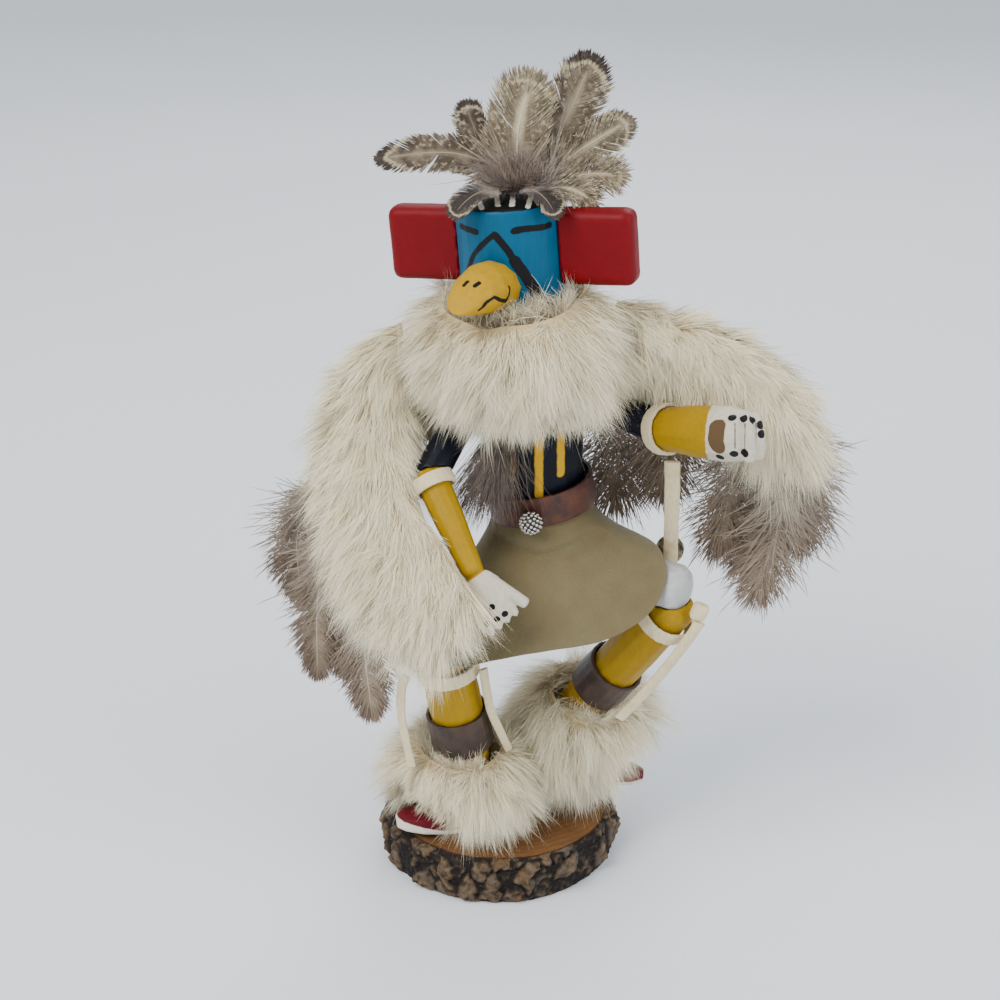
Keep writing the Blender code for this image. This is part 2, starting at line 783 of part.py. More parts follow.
BELT_INNER = TORSO_RADIUS + 2 * GAP + KILT_THICKNESS + BELT_HEIGHT / 2 * math.sin(abs(BELT_TILT))
BELT_AXIS = Matrix.Rotation(BELT_TILT, 3, "Y") @ SPINE
belt = ring_band(WAIST, BELT_AXIS, BELT_INNER, BELT_THICKNESS, BELT_HEIGHT, 32)
piece("belt", belt, BROWN_HIDE)
BEAD_SIDE = Vector((-0.20, -1, 0))
bead_out = (BEAD_SIDE - BELT_AXIS * BEAD_SIDE.dot(BELT_AXIS)).normalized()
bead_reach = BELT_INNER + BELT_THICKNESS + BEAD_RADIUS * 0.72
bead_centre = WAIST + bead_out * bead_reach - BELT_AXIS * 1.6 * STEP
bead = clear_of(ball(bead_centre, (BEAD_RADIUS,) * 3, 12, 8), belt, kilt)
piece("belt_bead", bead, SILVER, metallic=1.0)

RIGHT_ARM_LINE = (RIGHT_WRIST - RIGHT_ELBOW).normalized()
LEFT_ARM_LINE = (LEFT_WRIST - LEFT_ELBOW).normalized()
arm_bands = {
    "right": ring_band(
        RIGHT_ELBOW + RIGHT_ARM_LINE * 2.5 * STEP,
        RIGHT_ARM_LINE,
        RIGHT_FOREARM_RADIUS + GAP,
        BAND_THICKNESS,
        ARM_BAND_HEIGHT,
    ),
    "left": ring_band(
        LEFT_ELBOW + LEFT_ARM_LINE * 2.5 * STEP,
        LEFT_ARM_LINE,
        LEFT_FOREARM_RADIUS * 1.05 + GAP,
        BAND_THICKNESS,
        ARM_BAND_HEIGHT,
    ),
}
for side in ("right", "left"):
    arm_bands[side] = clear_of(arm_bands[side], forearms[side])
    upper_arms[side] = clear_of(upper_arms[side], torso, forearms[side], arm_bands[side])
    piece("upper_arm_" + side, upper_arms[side], NAVY)
    piece("forearm_" + side, forearms[side], YELLOW)
    piece("arm_band_" + side, arm_bands[side], CREAM_LEATHER)

shin_bands = {}
knee_ties = {}
for side, knee, ankle, share, tie_share, swell in (
    ("right", RIGHT_KNEE, RIGHT_ANKLE, 0.50, 0.075, 1.02),
    ("left", LEFT_KNEE_BELOW, LEFT_ANKLE, 0.46, 0.070, 0.94),
):
    line = (ankle - knee).normalized()
    middle = knee.lerp(ankle, share)
    inner = SHIN_RADIUS * swell + GAP
    shin_bands[side] = ring_band(middle, line, inner, BAND_THICKNESS, SHIN_BAND_HEIGHT)
    tie_middle = knee.lerp(ankle, tie_share)
    knee_ties[side] = ring_band(tie_middle, line, inner, BAND_THICKNESS, KNEE_TIE_HEIGHT)
    knee_ties[side] = clear_of(knee_ties[side], thighs[side])
    piece("shin_band_" + side, shin_bands[side], BROWN_HIDE)
    piece("knee_tie_" + side, knee_ties[side], CREAM_LEATHER)

knot_place = Matrix.Translation(spot(60.0, -31.5, 85.2)) @ Matrix.Rotation(math.radians(20), 4, "Y")
knot = block((KNOT_SIZE * 0.9, KNOT_SIZE * 0.7, KNOT_SIZE), knot_place, KNOT_SIZE * 0.2)
knot = clear_of(knot, knee_ties["left"], shins["left"], thighs["left"])
piece("knee_knot_left", knot, CREAM_LEATHER)

# Free laces: their routes are chosen by hand, and the dress stands clear of them
KNEE_LACE_LEFT = [
    (60.2, -32.0, 81.8),
    (56.5, -31.5, 75.0),
    (50.5, -29.5, 64.5),
    (43.5, -27.0, 53.5),
    (37.2, -25.0, 44.8),
]
KNEE_LACE_RIGHT_INNER = [
    (-5.2, -24.6, 62.0),
    (-4.2, -24.2, 54.5),
    (-2.8, -22.6, 46.0),
    (-0.2, -20.4, 38.0),
    (2.8, -18.2, 29.5),
]
KNEE_LACE_RIGHT_OUTER = [
    (-29.2, -22.6, 58.5),
    (-30.6, -22.2, 54.5),
    (-31.0, -23.0, 46.0),
    (-29.8, -23.6, 37.0),
    (-28.0, -24.0, 27.0),
]
ELBOW_THONG = [
    (51.5, -17.0, 128.0),
    (52.0, -15.4, 120.0),
    (52.3, -13.4, 110.0),
    (52.6, -11.4, 99.0),
    (52.8, -10.2, 89.5),
]
laces = {
    "knee_lace_left": lace(KNEE_LACE_LEFT, LACE_WIDTH, 9),
    "knee_lace_right_inner": lace(KNEE_LACE_RIGHT_INNER, LACE_WIDTH * 0.8, 8),
    "knee_lace_right_outer": lace(KNEE_LACE_RIGHT_OUTER, LACE_WIDTH * 0.9, 8),
    "elbow_thong": lace(ELBOW_THONG, THONG_WIDTH, 8),
}
for name, mesh in laces.items():
    piece(name, mesh, CREAM_LEATHER)
bell = make_bell(spot(53.2, -2.4, 92.5))
piece("elbow_bell", bell, BRASS, metallic=1.0, smooth=False)

# Fur
ruff_axis = (SPINE + Vector((0, -0.10, 0))).normalized()
ruff = fur_ring(
    spot(4.8, -4.0, 160.0),
    ruff_axis,
    RUFF_RADIUS,
    RUFF_THICKNESS,
    RUFF_HEIGHT,
    stretch=(1.0, 0.84),
)
ruff = clear_of(ruff, torso, mask, beak, *ears.values(), *upper_arms.values())
piece("fur_ruff", ruff, WHITE_FUR)

wings = {
    "right": fat_strip(
        [
            spot(-19, 1, 159),
            spot(-29, 1, 156),
            spot(-38, -5, 143),
            spot(-39.5, -18, 125),
            spot(-32.5, -33, 106.5),
            spot(-21.0, -44, 94.0),
            spot(-10.5, -49.5, 87.5),
        ],
        [RIGHT_WING_WIDTH * share for share in (0.55, 0.80, 0.92, 1.0, 1.08, 1.06, 0.84)],
        [WING_THICKNESS * share for share in (0.7, 0.95, 1.0, 1.0, 1.0, 0.9, 0.55)],
        Vector((-0.20, -1, 0.25)),
        10,
    ),
    "left": fat_strip(
        [
            spot(25, 1, 160),
            spot(36, 1, 162),
            spot(50, -3, 159),
            spot(67, -11, 154),
            spot(81, -18, 144),
            spot(87, -21, 129),
        ],
        [LEFT_WING_WIDTH * share for share in (0.75, 0.95, 1.0, 1.0, 1.0, 0.72)],
        [WING_THICKNESS * share for share in (0.7, 0.95, 1.0, 1.0, 0.95, 0.6)],
        Vector((-0.15, -1, 0.25)),
        10,
    ),
}
wings["right"] = clear_of(wings["right"], kilt)
for side in ("right", "left"):
    wings[side] = clear_of(wings[side], ruff, forearms[side], upper_arms[side], arm_bands[side], ears[side])
    piece("fur_wing_" + side, wings[side], WHITE_FUR)

cuffs = {
    "right": fur_ring(
        spot(-12.5, -9.5, 2) + Vector((0, 0, RIGHT_CUFF_HEIGHT * 0.52)),
        Vector((-0.05, -0.05, 1)),
        CUFF_RADIUS,
        CUFF_THICKNESS,
        RIGHT_CUFF_HEIGHT,
        stretch=(1.05, 0.90),
    ),
    "left": fur_ring(
        spot(26.0, 8.0, 2) + Vector((0, 0, LEFT_CUFF_HEIGHT * 0.52)),
        Vector((0.22, -0.25, 1)),
        CUFF_RADIUS,
        CUFF_THICKNESS,
        LEFT_CUFF_HEIGHT,
        stretch=(1.04, 0.86),
    ),
}
for side in ("right", "left"):
    cuffs[side] = clear_of(cuffs[side], base, shins[side], shin_bands[side], feet[side], *laces.values())
cuffs["left"] = clear_of(cuffs["left"], cuffs["right"])
for side in ("right", "left"):
    piece("fur_cuff_" + side, cuffs[side], WHITE_FUR)

# Feathers
MASK_TOP = HEAD_FOOT + MASK_AXIS * MASK_HEIGHT


def on_mask(x, y, z):
    """A place above the mask: steps from the middle of its flat top."""
    return MASK_TOP + Vector((x, y, z)) * STEP


tuft_size = (TUFT_RADIUS, TUFT_RADIUS * 0.85, TUFT_RADIUS * 0.72)
tuft = clear_of(ball(on_mask(2.5, 3.0, -0.5), tuft_size, 16, 8), mask)
piece("crown_tuft", tuft, DARK_FEATHER)


FRONT = Vector((0, -1, 0))
UP_FRONT = Vector((0.2, -1, 0.6))
crown_feathers = [
    ("crown_feather_1", [(3.4, 6, 4.4), (-16.6, 8, 10.9), (-39.6, 9, 9.9)], 12.5, FRONT),
    ("crown_feather_2", [(2.4, 8.5, 5.4), (-8.6, 11, 15.4), (-13.1, 12, 25.4)], 8, FRONT),
    ("crown_feather_3", [(2.4, 6, 3.4), (2.9, 7.5, 19.4), (8.0, 6.5, 38.0)], 16.5, FRONT),
    ("crown_feather_4", [(7.4, 10, 3.4), (17.9, 12.5, 22.4), (24.9, 12.5, 39.9)], 13.5, FRONT),
    ("crown_feather_5", [(9.4, 6, 4.4), (23.4, 8, 13.4), (36.9, 8, 21.9)], 10.5, FRONT),
    ("crown_feather_6", [(9.4, 2.5, 3.4), (23.4, 3, 5.9), (35.4, 4, 4.9)], 9.5, FRONT),
    ("crown_feather_7", [(8.4, -1, 2.9), (18.4, -3.5, 2.9), (26.4, -4.5, -2.1)], 9, UP_FRONT),
]
placed = []
for name, points, width, facing in crown_feathers:
    blade = feather([on_mask(*point) for point in points], width * STEP, facing)
    blade = clear_of(blade, tuft, mask, ears["left"], *placed)
    placed.append(blade)
    piece(name, blade, BROWN_FEATHER)

BROW_WIDTH = 9.5 * STEP
brow_feathers = [
    (
        "brow_feather_right",
        [(-3.6, -6, 1.6), (-9.6, -11, 1.4), (-13.2, -14, -2.1), (-14.2, -15.2, -7.6)],
        Vector((-0.5, -0.6, 0.9)),
    ),
    (
        "brow_feather_left",
        [(6.4, -7, 2.6), (10.4, -11.5, 2.6), (13.4, -14.4, -1.1), (14.4, -15.6, -7.1)],
        Vector((0.5, -0.6, 0.9)),
    ),
]
for name, points, facing in brow_feathers:
    blade = feather([on_mask(*point) for point in points], BROW_WIDTH, facing, stations=8)
    blade = clear_of(blade, mask, tuft, *ears.values(), *placed)
    placed.append(blade)
    piece(name, blade, DARK_FEATHER)

wing_feathers = [
    ("wing_feather_right_1", [(-50, -16, 106), (-56, -17, 84), (-57.5, -17, 51)], 11.5),
    ("wing_feather_right_2", [(-40, -21, 96), (-42, -21, 70), (-40.0, -21, 40)], 12),
    ("wing_feather_right_3", [(-56, -7, 116), (-63, -6, 98), (-62, -5, 72)], 13),
    ("wing_feather_right_4", [(-46, -11, 100), (-50, -10, 76), (-48, -9, 48)], 13),
    ("wing_feather_right_5", [(-36, 7, 146), (-24, 8.5, 136), (-9, 10.5, 126)], 15),
    ("wing_feather_left_1", [(88, -17, 134), (84.5, -17, 108), (77, -18, 78)], 14),
    ("wing_feather_left_2", [(91, -12, 136), (93.5, -11, 114), (90, -10, 92)], 13),
    ("wing_feather_left_3", [(75, -7, 142), (71, -6, 116), (67, -6, 90)], 15),
    ("wing_feather_left_4", [(83, -5, 138), (81, -4, 110), (75, -3, 82)], 14),
    ("wing_feather_left_5", [(35, 12, 154), (38.5, 15, 126), (35, 17, 92)], 20),
    ("wing_feather_left_6", [(51, 6, 152), (53, 7, 128), (49, 8, 102)], 15),
]
for name, points, width in wing_feathers:
    side = "left" if "left" in name else "right"
    blade = feather([spot(*point) for point in points], width * STEP, FRONT)
    blade = clear_of(blade, wings[side], ruff, torso, upper_arms[side], forearms[side], *placed)
    placed.append(blade)
    piece(name, blade, BROWN_FEATHER)

side_tuft = fat_strip(
    [spot(1, -16.5, 140), spot(-4, -22.5, 124), spot(-8, -25, 108)],
    [8.0 * STEP, 15.0 * STEP, 19.0 * STEP],
    [3.0 * STEP, 2.6 * STEP, 1.2 * STEP],
    Vector((-0.3, -1, 0.1)),
    6,
    8,
)
side_tuft = clear_of(side_tuft, ruff, torso, belt, kilt, forearms["right"], bead)
piece("side_tuft", side_tuft, GREY_HAIR)
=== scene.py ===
# %% [markdown]
# A painted kachina doll: an eagle dancer in fur and feathers on a slice of log. Its solids come
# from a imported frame. This lesson gives them their finish: brushed paint over whittled wood, bark,
# suede, leather laces, long white fur and barred feathers. Every piece is in metres, with +Z up,
# and the doll looks along -Y.

import json
import math

import bpy
import numpy as np
from mathutils import Matrix, Vector, noise
from mathutils.bvhtree import BVHTree

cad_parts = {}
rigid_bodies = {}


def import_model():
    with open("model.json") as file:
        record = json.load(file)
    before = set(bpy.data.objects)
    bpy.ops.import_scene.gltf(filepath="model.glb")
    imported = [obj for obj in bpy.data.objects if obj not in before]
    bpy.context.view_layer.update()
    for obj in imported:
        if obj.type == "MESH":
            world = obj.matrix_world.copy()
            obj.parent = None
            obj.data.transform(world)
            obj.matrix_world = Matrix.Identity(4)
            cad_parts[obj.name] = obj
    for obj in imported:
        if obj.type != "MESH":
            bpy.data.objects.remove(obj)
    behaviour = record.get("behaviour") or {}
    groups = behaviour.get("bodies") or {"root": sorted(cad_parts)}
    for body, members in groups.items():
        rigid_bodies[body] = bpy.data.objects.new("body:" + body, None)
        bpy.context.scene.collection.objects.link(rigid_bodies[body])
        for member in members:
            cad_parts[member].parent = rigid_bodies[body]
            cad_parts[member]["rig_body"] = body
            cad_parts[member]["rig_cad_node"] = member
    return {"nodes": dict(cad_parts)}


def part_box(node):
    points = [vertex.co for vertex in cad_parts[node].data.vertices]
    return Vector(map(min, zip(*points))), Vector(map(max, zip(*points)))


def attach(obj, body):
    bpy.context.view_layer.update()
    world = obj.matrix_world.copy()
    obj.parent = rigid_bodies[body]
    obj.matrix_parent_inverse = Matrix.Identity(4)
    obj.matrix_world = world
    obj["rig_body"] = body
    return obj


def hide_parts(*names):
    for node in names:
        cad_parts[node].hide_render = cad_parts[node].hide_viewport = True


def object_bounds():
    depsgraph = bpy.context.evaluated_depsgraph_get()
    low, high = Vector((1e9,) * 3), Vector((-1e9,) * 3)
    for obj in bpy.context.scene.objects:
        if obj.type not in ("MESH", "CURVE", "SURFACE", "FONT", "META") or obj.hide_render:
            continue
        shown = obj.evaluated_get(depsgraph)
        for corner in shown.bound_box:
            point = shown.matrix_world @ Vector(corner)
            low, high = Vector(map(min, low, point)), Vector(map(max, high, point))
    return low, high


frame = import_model()
CAD_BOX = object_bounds()
MM = 0.001
BASE_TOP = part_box("base_slice")[1].z
print("CAD box in mm:", [round(c / MM, 1) for corner in CAD_BOX for c in corner])

# %% [markdown]
# The camera comes first, because painted marks are placed by looking through it. It stands a bit
# over half a metre in front of the doll and looks down by 23.2 degrees.

# %% The camera
CAMERA_AT = Vector((0, -0.55, 0.36))
LOOKS_DOWN = math.radians(23.2)
LENS = 69.2
SENSOR = 36.0
PICTURE = 1000
DOLL_AWAY = 0.58

bpy.ops.object.camera_add(location=CAMERA_AT, rotation=(math.pi / 2 - LOOKS_DOWN, 0, 0))
camera = bpy.context.object
camera.name = "camera"
camera.data.lens = LENS
camera.data.sensor_width = SENSOR
bpy.context.scene.camera = camera


def ray_through(u, v):
    """The direction from the camera through a point of the photograph, in pixels."""
    focal = PICTURE * LENS / SENSOR
    seen = Vector((u - PICTURE / 2, PICTURE / 2 - v, -focal))
    return (Matrix.Rotation(math.pi / 2 - LOOKS_DOWN, 3, "X") @ seen).normalized()


def ray_target(node):
    """A CAD solid in a form that rays can be cast at."""
    mesh = frame["nodes"][node].data
    faces = [tuple(face.vertices) for face in mesh.polygons]
    return BVHTree.FromPolygons([point.co for point in mesh.vertices], faces)


def on_surface(node, u, v):
    """Where the camera sees a point of the photograph on a CAD solid."""
    solid = ray_target(node)
    hit = solid.ray_cast(CAMERA_AT, ray_through(u, v))[0]
    if hit is None:
        hit = solid.find_nearest(CAMERA_AT + ray_through(u, v) * DOLL_AWAY)[0]
    return hit


def traced(node, marks):
    """Places on a CAD solid for a row of points of the photograph."""
    return [on_surface(node, u, v) for u, v in marks]


def spot(x, y, z):
    """A place in the pose: millimetres from the middle of the log slice's top."""
    return Vector((x * MM, y * MM, z * MM + BASE_TOP))


print("the camera looks from", tuple(CAMERA_AT))

# %% [markdown]
# Modelling by hand in Blender means operators: select something, call a tool, apply a modifier.

# %% Selecting, applying and copying
ROOT = "root"


def work_on(piece):
    """Makes a piece the only selected object, and the active one."""
    if bpy.context.object and bpy.context.object.mode != "OBJECT":
        bpy.ops.object.mode_set(mode="OBJECT")
    bpy.ops.object.select_all(action="DESELECT")
    piece.select_set(True)
    bpy.context.view_layer.objects.active = piece
    return piece


def applied(piece, kind, **settings):
    """Adds one modifier to a piece, sets it, and applies it."""
    work_on(piece)
    modifier = piece.modifiers.new(kind.lower(), kind)
    for setting, value in settings.items():
        setattr(modifier, setting, value)
    bpy.ops.object.modifier_apply(modifier=modifier.name)
    return piece


def copied(node, name):
    """A copy of a CAD solid, with its loose triangles merged into one closed skin."""
    source = frame["nodes"][node]
    piece = bpy.data.objects.new(name, source.data.copy())
    bpy.context.scene.collection.objects.link(piece)
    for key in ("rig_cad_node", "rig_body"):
        if key in piece:
            del piece[key]
    piece.data.materials.clear()
    work_on(piece)
    bpy.ops.object.mode_set(mode="EDIT")
    bpy.ops.mesh.select_all(action="SELECT")
    bpy.ops.mesh.remove_doubles(threshold=0.00001)
    bpy.ops.object.mode_set(mode="OBJECT")
    piece.data.shade_smooth()
    return piece


def mesh_piece(name, places, faces):
    """A new piece from points and faces that are worked out in code."""
    mesh = bpy.data.meshes.new(name)
    mesh.from_pydata([tuple(p) for p in places], [], faces)
    mesh.update()
    piece = bpy.data.objects.new(name, mesh)
    bpy.context.scene.collection.objects.link(piece)
    return piece


def placed(piece, finish, *nodes):
    """Gives a finished piece its material, and puts it on the doll in place of its CAD solids."""
    piece.data.materials.clear()
    piece.data.materials.append(finish.material)
    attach(piece, ROOT)
    if nodes:
        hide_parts(*nodes)
    print(piece.name, len(piece.data.polygons), "faces")
    return piece


# %% [markdown]
# A finish is a small network of shader nodes. Written as plain Python sums it stays readable: the
# class below wraps one output socket, and its operators add the Math nodes. Every other node comes
# from one method that takes the node's type, its settings and its inputs.

# %% Shader sums
def linear(red, green, blue):
    """A colour from screen values of 0 to 255, as a shader wants it."""
    parts = [c / 255 for c in (red, green, blue)]
    return (*[c / 12.92 if c <= 0.04045 else ((c + 0.055) / 1.055) ** 2.4 for c in parts], 1.0)


class Value:
    """The output of a shader node, which can be used in sums."""

    def __init__(self, finish, socket):
        self.finish = finish
        self.socket = socket

    def sum(self, operation, *values, **settings):
        return self.finish.node("Math", {"operation": operation, **settings}, dict(enumerate(values)))

    def __add__(self, other):
        return self.sum("ADD", self, other)

    def __sub__(self, other):
        return self.sum("SUBTRACT", self, other)

    def __rsub__(self, other):
        return self.sum("SUBTRACT", other, self)

    def __mul__(self, other):
        return self.sum("MULTIPLY", self, other)

    def __pow__(self, other):
        return self.sum("POWER", self, other)

    __radd__ = __add__
    __rmul__ = __mul__

    def least(self, other):
        return self.sum("MINIMUM", self, other)

    def most(self, other):
        return self.sum("MAXIMUM", self, other)

    def clamped(self):
        return self.sum("ADD", self, 0.0, use_clamp=True)

    def step(self, low, high):
        """0 below low and 1 above high, with a smooth edge between them."""
        inputs = {"Value": self, "From Min": low, "From Max": high}
        return self.finish.node("MapRange", {"interpolation_type": "SMOOTHSTEP"}, inputs)


class Finish:
    """A material whose nodes are written as sums."""

    def __init__(self, name, roughness=0.5, metallic=0.0, specular=0.5, sheen=0.0, coat=0.0):
        self.material = bpy.data.materials.new(name)
        self.material.use_nodes = True
        self.tree = self.material.node_tree
        self.shader = self.tree.nodes["Principled BSDF"]
        constants = {
            "Roughness": roughness,
            "Metallic": metallic,
            "Specular IOR Level": specular,
            "Sheen Weight": sheen,
            "Coat Weight": coat,
        }
        for name, value in constants.items():
            self.shader.inputs[name].default_value = value
        self.place = self.node("TexCoord", output="Object")

    def node(self, kind, settings=None, inputs=None, output=0):
        """Adds a node, sets it, feeds it, and gives back one of its outputs."""
        made = self.tree.nodes.new("ShaderNode" + kind)
        for setting, value in (settings or {}).items():
            if setting == "stops":
                self.set_stops(made.color_ramp, value)
            else:
                setattr(made, setting, value)
        for socket, value in (inputs or {}).items():
            self.feed(value, made.inputs[socket])
        return Value(self, made.outputs[output])

    def set_stops(self, ramp, stops):
        """Sets a ramp's colours from (place, colour) pairs."""
        while len(ramp.elements) < len(stops):
            ramp.elements.new(1.0)
        for element, (where, colour) in zip(ramp.elements, stops):
            element.position = where
            element.color = colour

    def feed(self, value, socket):
        if isinstance(value, Value):
            self.tree.links.new(value.socket, socket)
        else:
            socket.default_value = value

    def mix(self, share, first, second, blend="MIX"):
        """Colours from first at 0 to second at 1."""
        settings = {"data_type": "RGBA", "blend_type": blend}
        return self.node("Mix", settings, {0: share, 6: first, 7: second}, output=2)

    def vector(self, operation, *values, output=0):
        return self.node("VectorMath", {"operation": operation}, dict(enumerate(values)), output)

    def noise(self, size, detail=3.0, stretch=(1, 1, 1), roughness=0.55, shift=(0, 0, 0), warp=0.0):
        """Cloudy values around a half, with lumps of about one size in metres."""
        inputs = {"Vector": self.place, "Location": shift, "Scale": stretch}
        where = self.node("Mapping", None, inputs)
        inputs = {"Vector": where, "Scale": 1 / size, "Detail": detail, "Roughness": roughness}
        inputs["Distortion"] = warp
        return self.node("TexNoise", None, inputs, output="Fac")

    def cells(self, size, feature="F1", stretch=(1, 1, 1), output="Distance"):
        """A pattern of rounded cells of about one size in metres."""
        where = self.node("Mapping", None, {"Vector": self.place, "Scale": stretch})
        return self.node("TexVoronoi", {"feature": feature}, {"Vector": where, "Scale": 1 / size}, output)

    def attribute(self, name, output="Fac"):
        return self.node("Attribute", {"attribute_name": name}, None, output)

    def height(self, up, strength=0.5, distance=0.0003, over=None):
        """A bump from a height, on top of an earlier bump where one is given."""
        inputs = {"Height": up, "Strength": strength, "Distance": distance}
        if over is not None:
            inputs["Normal"] = over
        return self.node("Bump", None, inputs)

    def wear(self, **sockets):
        """Connects the finish's results: colour, roughness, bump and so on."""
        names = {"colour": "Base Color", "roughness": "Roughness", "bump": "Normal", "metallic": "Metallic"}
        for name, value in sockets.items():
            self.feed(value, self.shader.inputs[names[name]])
        return self


print("shader tools are ready")

# %% [markdown]
# The light in the photograph is broad and soft, and comes from the upper left. A pale floor, a pale
# sky and three large lamps give the same look.

# %% The floor and the light
bpy.ops.mesh.primitive_plane_add(size=6, location=(0, 0, 0))
floor = bpy.context.object
floor.name = "floor"
FLOOR_PAINT = Finish("floor", roughness=0.75, specular=0.2)
FLOOR_PAINT.wear(colour=FLOOR_PAINT.mix(FLOOR_PAINT.noise(0.4), linear(222, 226, 231), linear(230, 233, 237)))
floor.data.materials.append(FLOOR_PAINT.material)

LAMPS = (
    ("key", (-0.75, -0.75, 1.25), 0.9, 23.5, (1.0, 0.98, 0.95)),
    ("fill", (0.95, -0.60, 0.70), 0.9, 9.0, (0.93, 0.96, 1.0)),
    ("back", (0.25, 0.95, 0.95), 0.8, 6.0, (1.0, 1.0, 1.0)),
)
MIDDLE = (CAD_BOX[0] + CAD_BOX[1]) / 2
for name, at, size, power, tint in LAMPS:
    bpy.ops.object.light_add(type="AREA", location=at)
    lamp = bpy.context.object
    lamp.name = name + "_light"
    lamp.data.size = size
    lamp.data.energy = power
    lamp.data.color = tint
    lamp.rotation_euler = (MIDDLE - Vector(at)).to_track_quat("-Z", "Y").to_euler()

sky = bpy.data.worlds.new("soft room")
sky.use_nodes = True
sky.node_tree.nodes["Background"].inputs["Color"].default_value = (0.86, 0.90, 0.96, 1)
sky.node_tree.nodes["Background"].inputs["Strength"].default_value = 0.96
bpy.context.scene.world = sky
print("floor,", len(LAMPS), "lamps and a pale sky")

# %% [markdown]
# The laces hang free, and are made at their real length. Each one is a flat strip of
# soft cream hide, cut by hand. It follows the same points as its solid. A strip is
# modelled as a box section that is carried along a smooth path and turned to face outwards.

# %% Free laces
LACE_WIDTH = 3.6 * MM
THONG_WIDTH = 4.8 * MM
LACE_THICKNESS = 1.1 * MM
LACE_STATIONS = 26

KNEE_LACE_LEFT = [
    (60.2, -32.0, 81.8),
    (56.5, -31.5, 75.0),
    (50.5, -29.5, 64.5),
    (43.5, -27.0, 53.5),
    (37.2, -25.0, 44.8),
]
KNEE_LACE_RIGHT_INNER = [
    (-5.2, -24.6, 62.0),
    (-4.2, -24.2, 54.5),
    (-2.8, -22.6, 46.0),
    (-0.2, -20.4, 38.0),
    (2.8, -18.2, 29.5),
]
KNEE_LACE_RIGHT_OUTER = [
    (-29.2, -22.6, 58.5),
    (-30.6, -22.2, 54.5),
    (-31.0, -23.0, 46.0),
    (-29.8, -23.6, 37.0),
    (-28.0, -24.0, 27.0),
]
ELBOW_THONG = [
    (51.5, -17.0, 128.0),
    (52.0, -15.4, 120.0),
    (52.3, -13.4, 110.0),
    (52.6, -11.4, 99.0),
    (52.8, -10.2, 89.5),
]


def smooth_path(points, count):
    """Points at even shares of a smooth curve through the given points."""
    knots = [points[0] * 2 - points[1], *points, points[-1] * 2 - points[-2]]
    path = []
    for i in range(count):
        share = i / (count - 1) * (len(points) - 1)
        k = min(int(share), len(points) - 2)
        t = share - k
        a, b, c, d = knots[k : k + 4]
        straight = 2 * b + (c - a) * t
        curved = (2 * a - 5 * b + 4 * c - d) * t**2 + (3 * b - a - 3 * c + d) * t**3
        path.append((straight + curved) / 2)
    return path


def carried(name, path, section, facing, sizes=None):
    """A closed piece: one outline carried along a path and turned to face one way."""
    places = []
    count = len(section)
    for i, place in enumerate(path):
        along = (path[min(i + 1, len(path) - 1)] - path[max(i - 1, 0)]).normalized()
        across = along.cross(facing).normalized()
        out = across.cross(along)
        size = sizes[i] if sizes else 1.0
        places += [place + (across * x + out * y) * size for x, y in section]
    faces = []
    for i in range(len(path) - 1):
        for k in range(count):
            m = (k + 1) % count
            faces.append((i * count + k, i * count + m, (i + 1) * count + m, (i + 1) * count + k))
    last = (len(path) - 1) * count
    faces += [tuple(reversed(range(count))), tuple(range(last, last + count))]
    piece = mesh_piece(name, places, faces)
    work_on(piece)
    bpy.ops.object.mode_set(mode="EDIT")
    bpy.ops.mesh.select_all(action="SELECT")
    bpy.ops.mesh.normals_make_consistent(inside=False)
    bpy.ops.object.mode_set(mode="OBJECT")
    return piece


def hide_strip(name, points, width, facing, sway):
    """A flat strip of hide along a smooth path, a little uneven at its edges."""
    path = smooth_path([spot(*point) for point in points], LACE_STATIONS)
    half = width / 2
    flat = LACE_THICKNESS / 2
    round_in = LACE_THICKNESS * 0.3
    section = [(-half, -flat + round_in), (-half + round_in, -flat), (half - round_in, -flat)]
    section += [(half, -flat + round_in), (half, flat - round_in), (half - round_in, flat)]
    section += [(-half + round_in, flat), (-half, flat - round_in)]
    sizes = []
    for i in range(LACE_STATIONS):
        uneven = noise.noise(Vector((i * 0.45, sway, 0)))
        sizes.append(1.0 - 0.10 * (i / (LACE_STATIONS - 1)) + 0.06 * uneven)
    piece = carried(name, path, section, facing, sizes)
    piece.data.shade_smooth()
    piece.data.set_sharp_from_angle(angle=math.radians(50))
    return piece, path


def length_of(path):
    return sum((b - a).length for a, b in zip(path, path[1:]))


CREAM_HIDE = Finish("cream_hide", roughness=0.8, specular=0.25, sheen=0.15)
fibres = CREAM_HIDE.noise(0.0009, 4.0, stretch=(1, 1, 0.35))
soiled = CREAM_HIDE.noise(0.008, 2.0)
cream = CREAM_HIDE.mix(fibres, linear(196, 176, 130), linear(232, 219, 184))
cream = CREAM_HIDE.mix(soiled.step(0.52, 0.80) * 0.6, cream, linear(150, 124, 82))
CREAM_HIDE.wear(colour=cream, bump=CREAM_HIDE.height(fibres, 0.5, 0.0003))

LACES = (
    ("knee_lace_left", KNEE_LACE_LEFT, LACE_WIDTH, Vector((0.3, -1, 0.2))),
    ("knee_lace_right_inner", KNEE_LACE_RIGHT_INNER, LACE_WIDTH * 0.8, Vector((0.5, -1, 0))),
    ("knee_lace_right_outer", KNEE_LACE_RIGHT_OUTER, LACE_WIDTH * 0.9, Vector((-0.6, -1, 0))),
    ("elbow_thong", ELBOW_THONG, THONG_WIDTH, Vector((-0.2, -1, 0))),
)
for sway, (node, points, width, facing) in enumerate(LACES):
    strip, path = hide_strip(node + "_strip", points, width, facing, sway * 3.7)
    placed(strip, CREAM_HIDE, node)
    length_of(path)
    print(strip.name, "is", round(length_of(path) / MM, 1), "mm long")

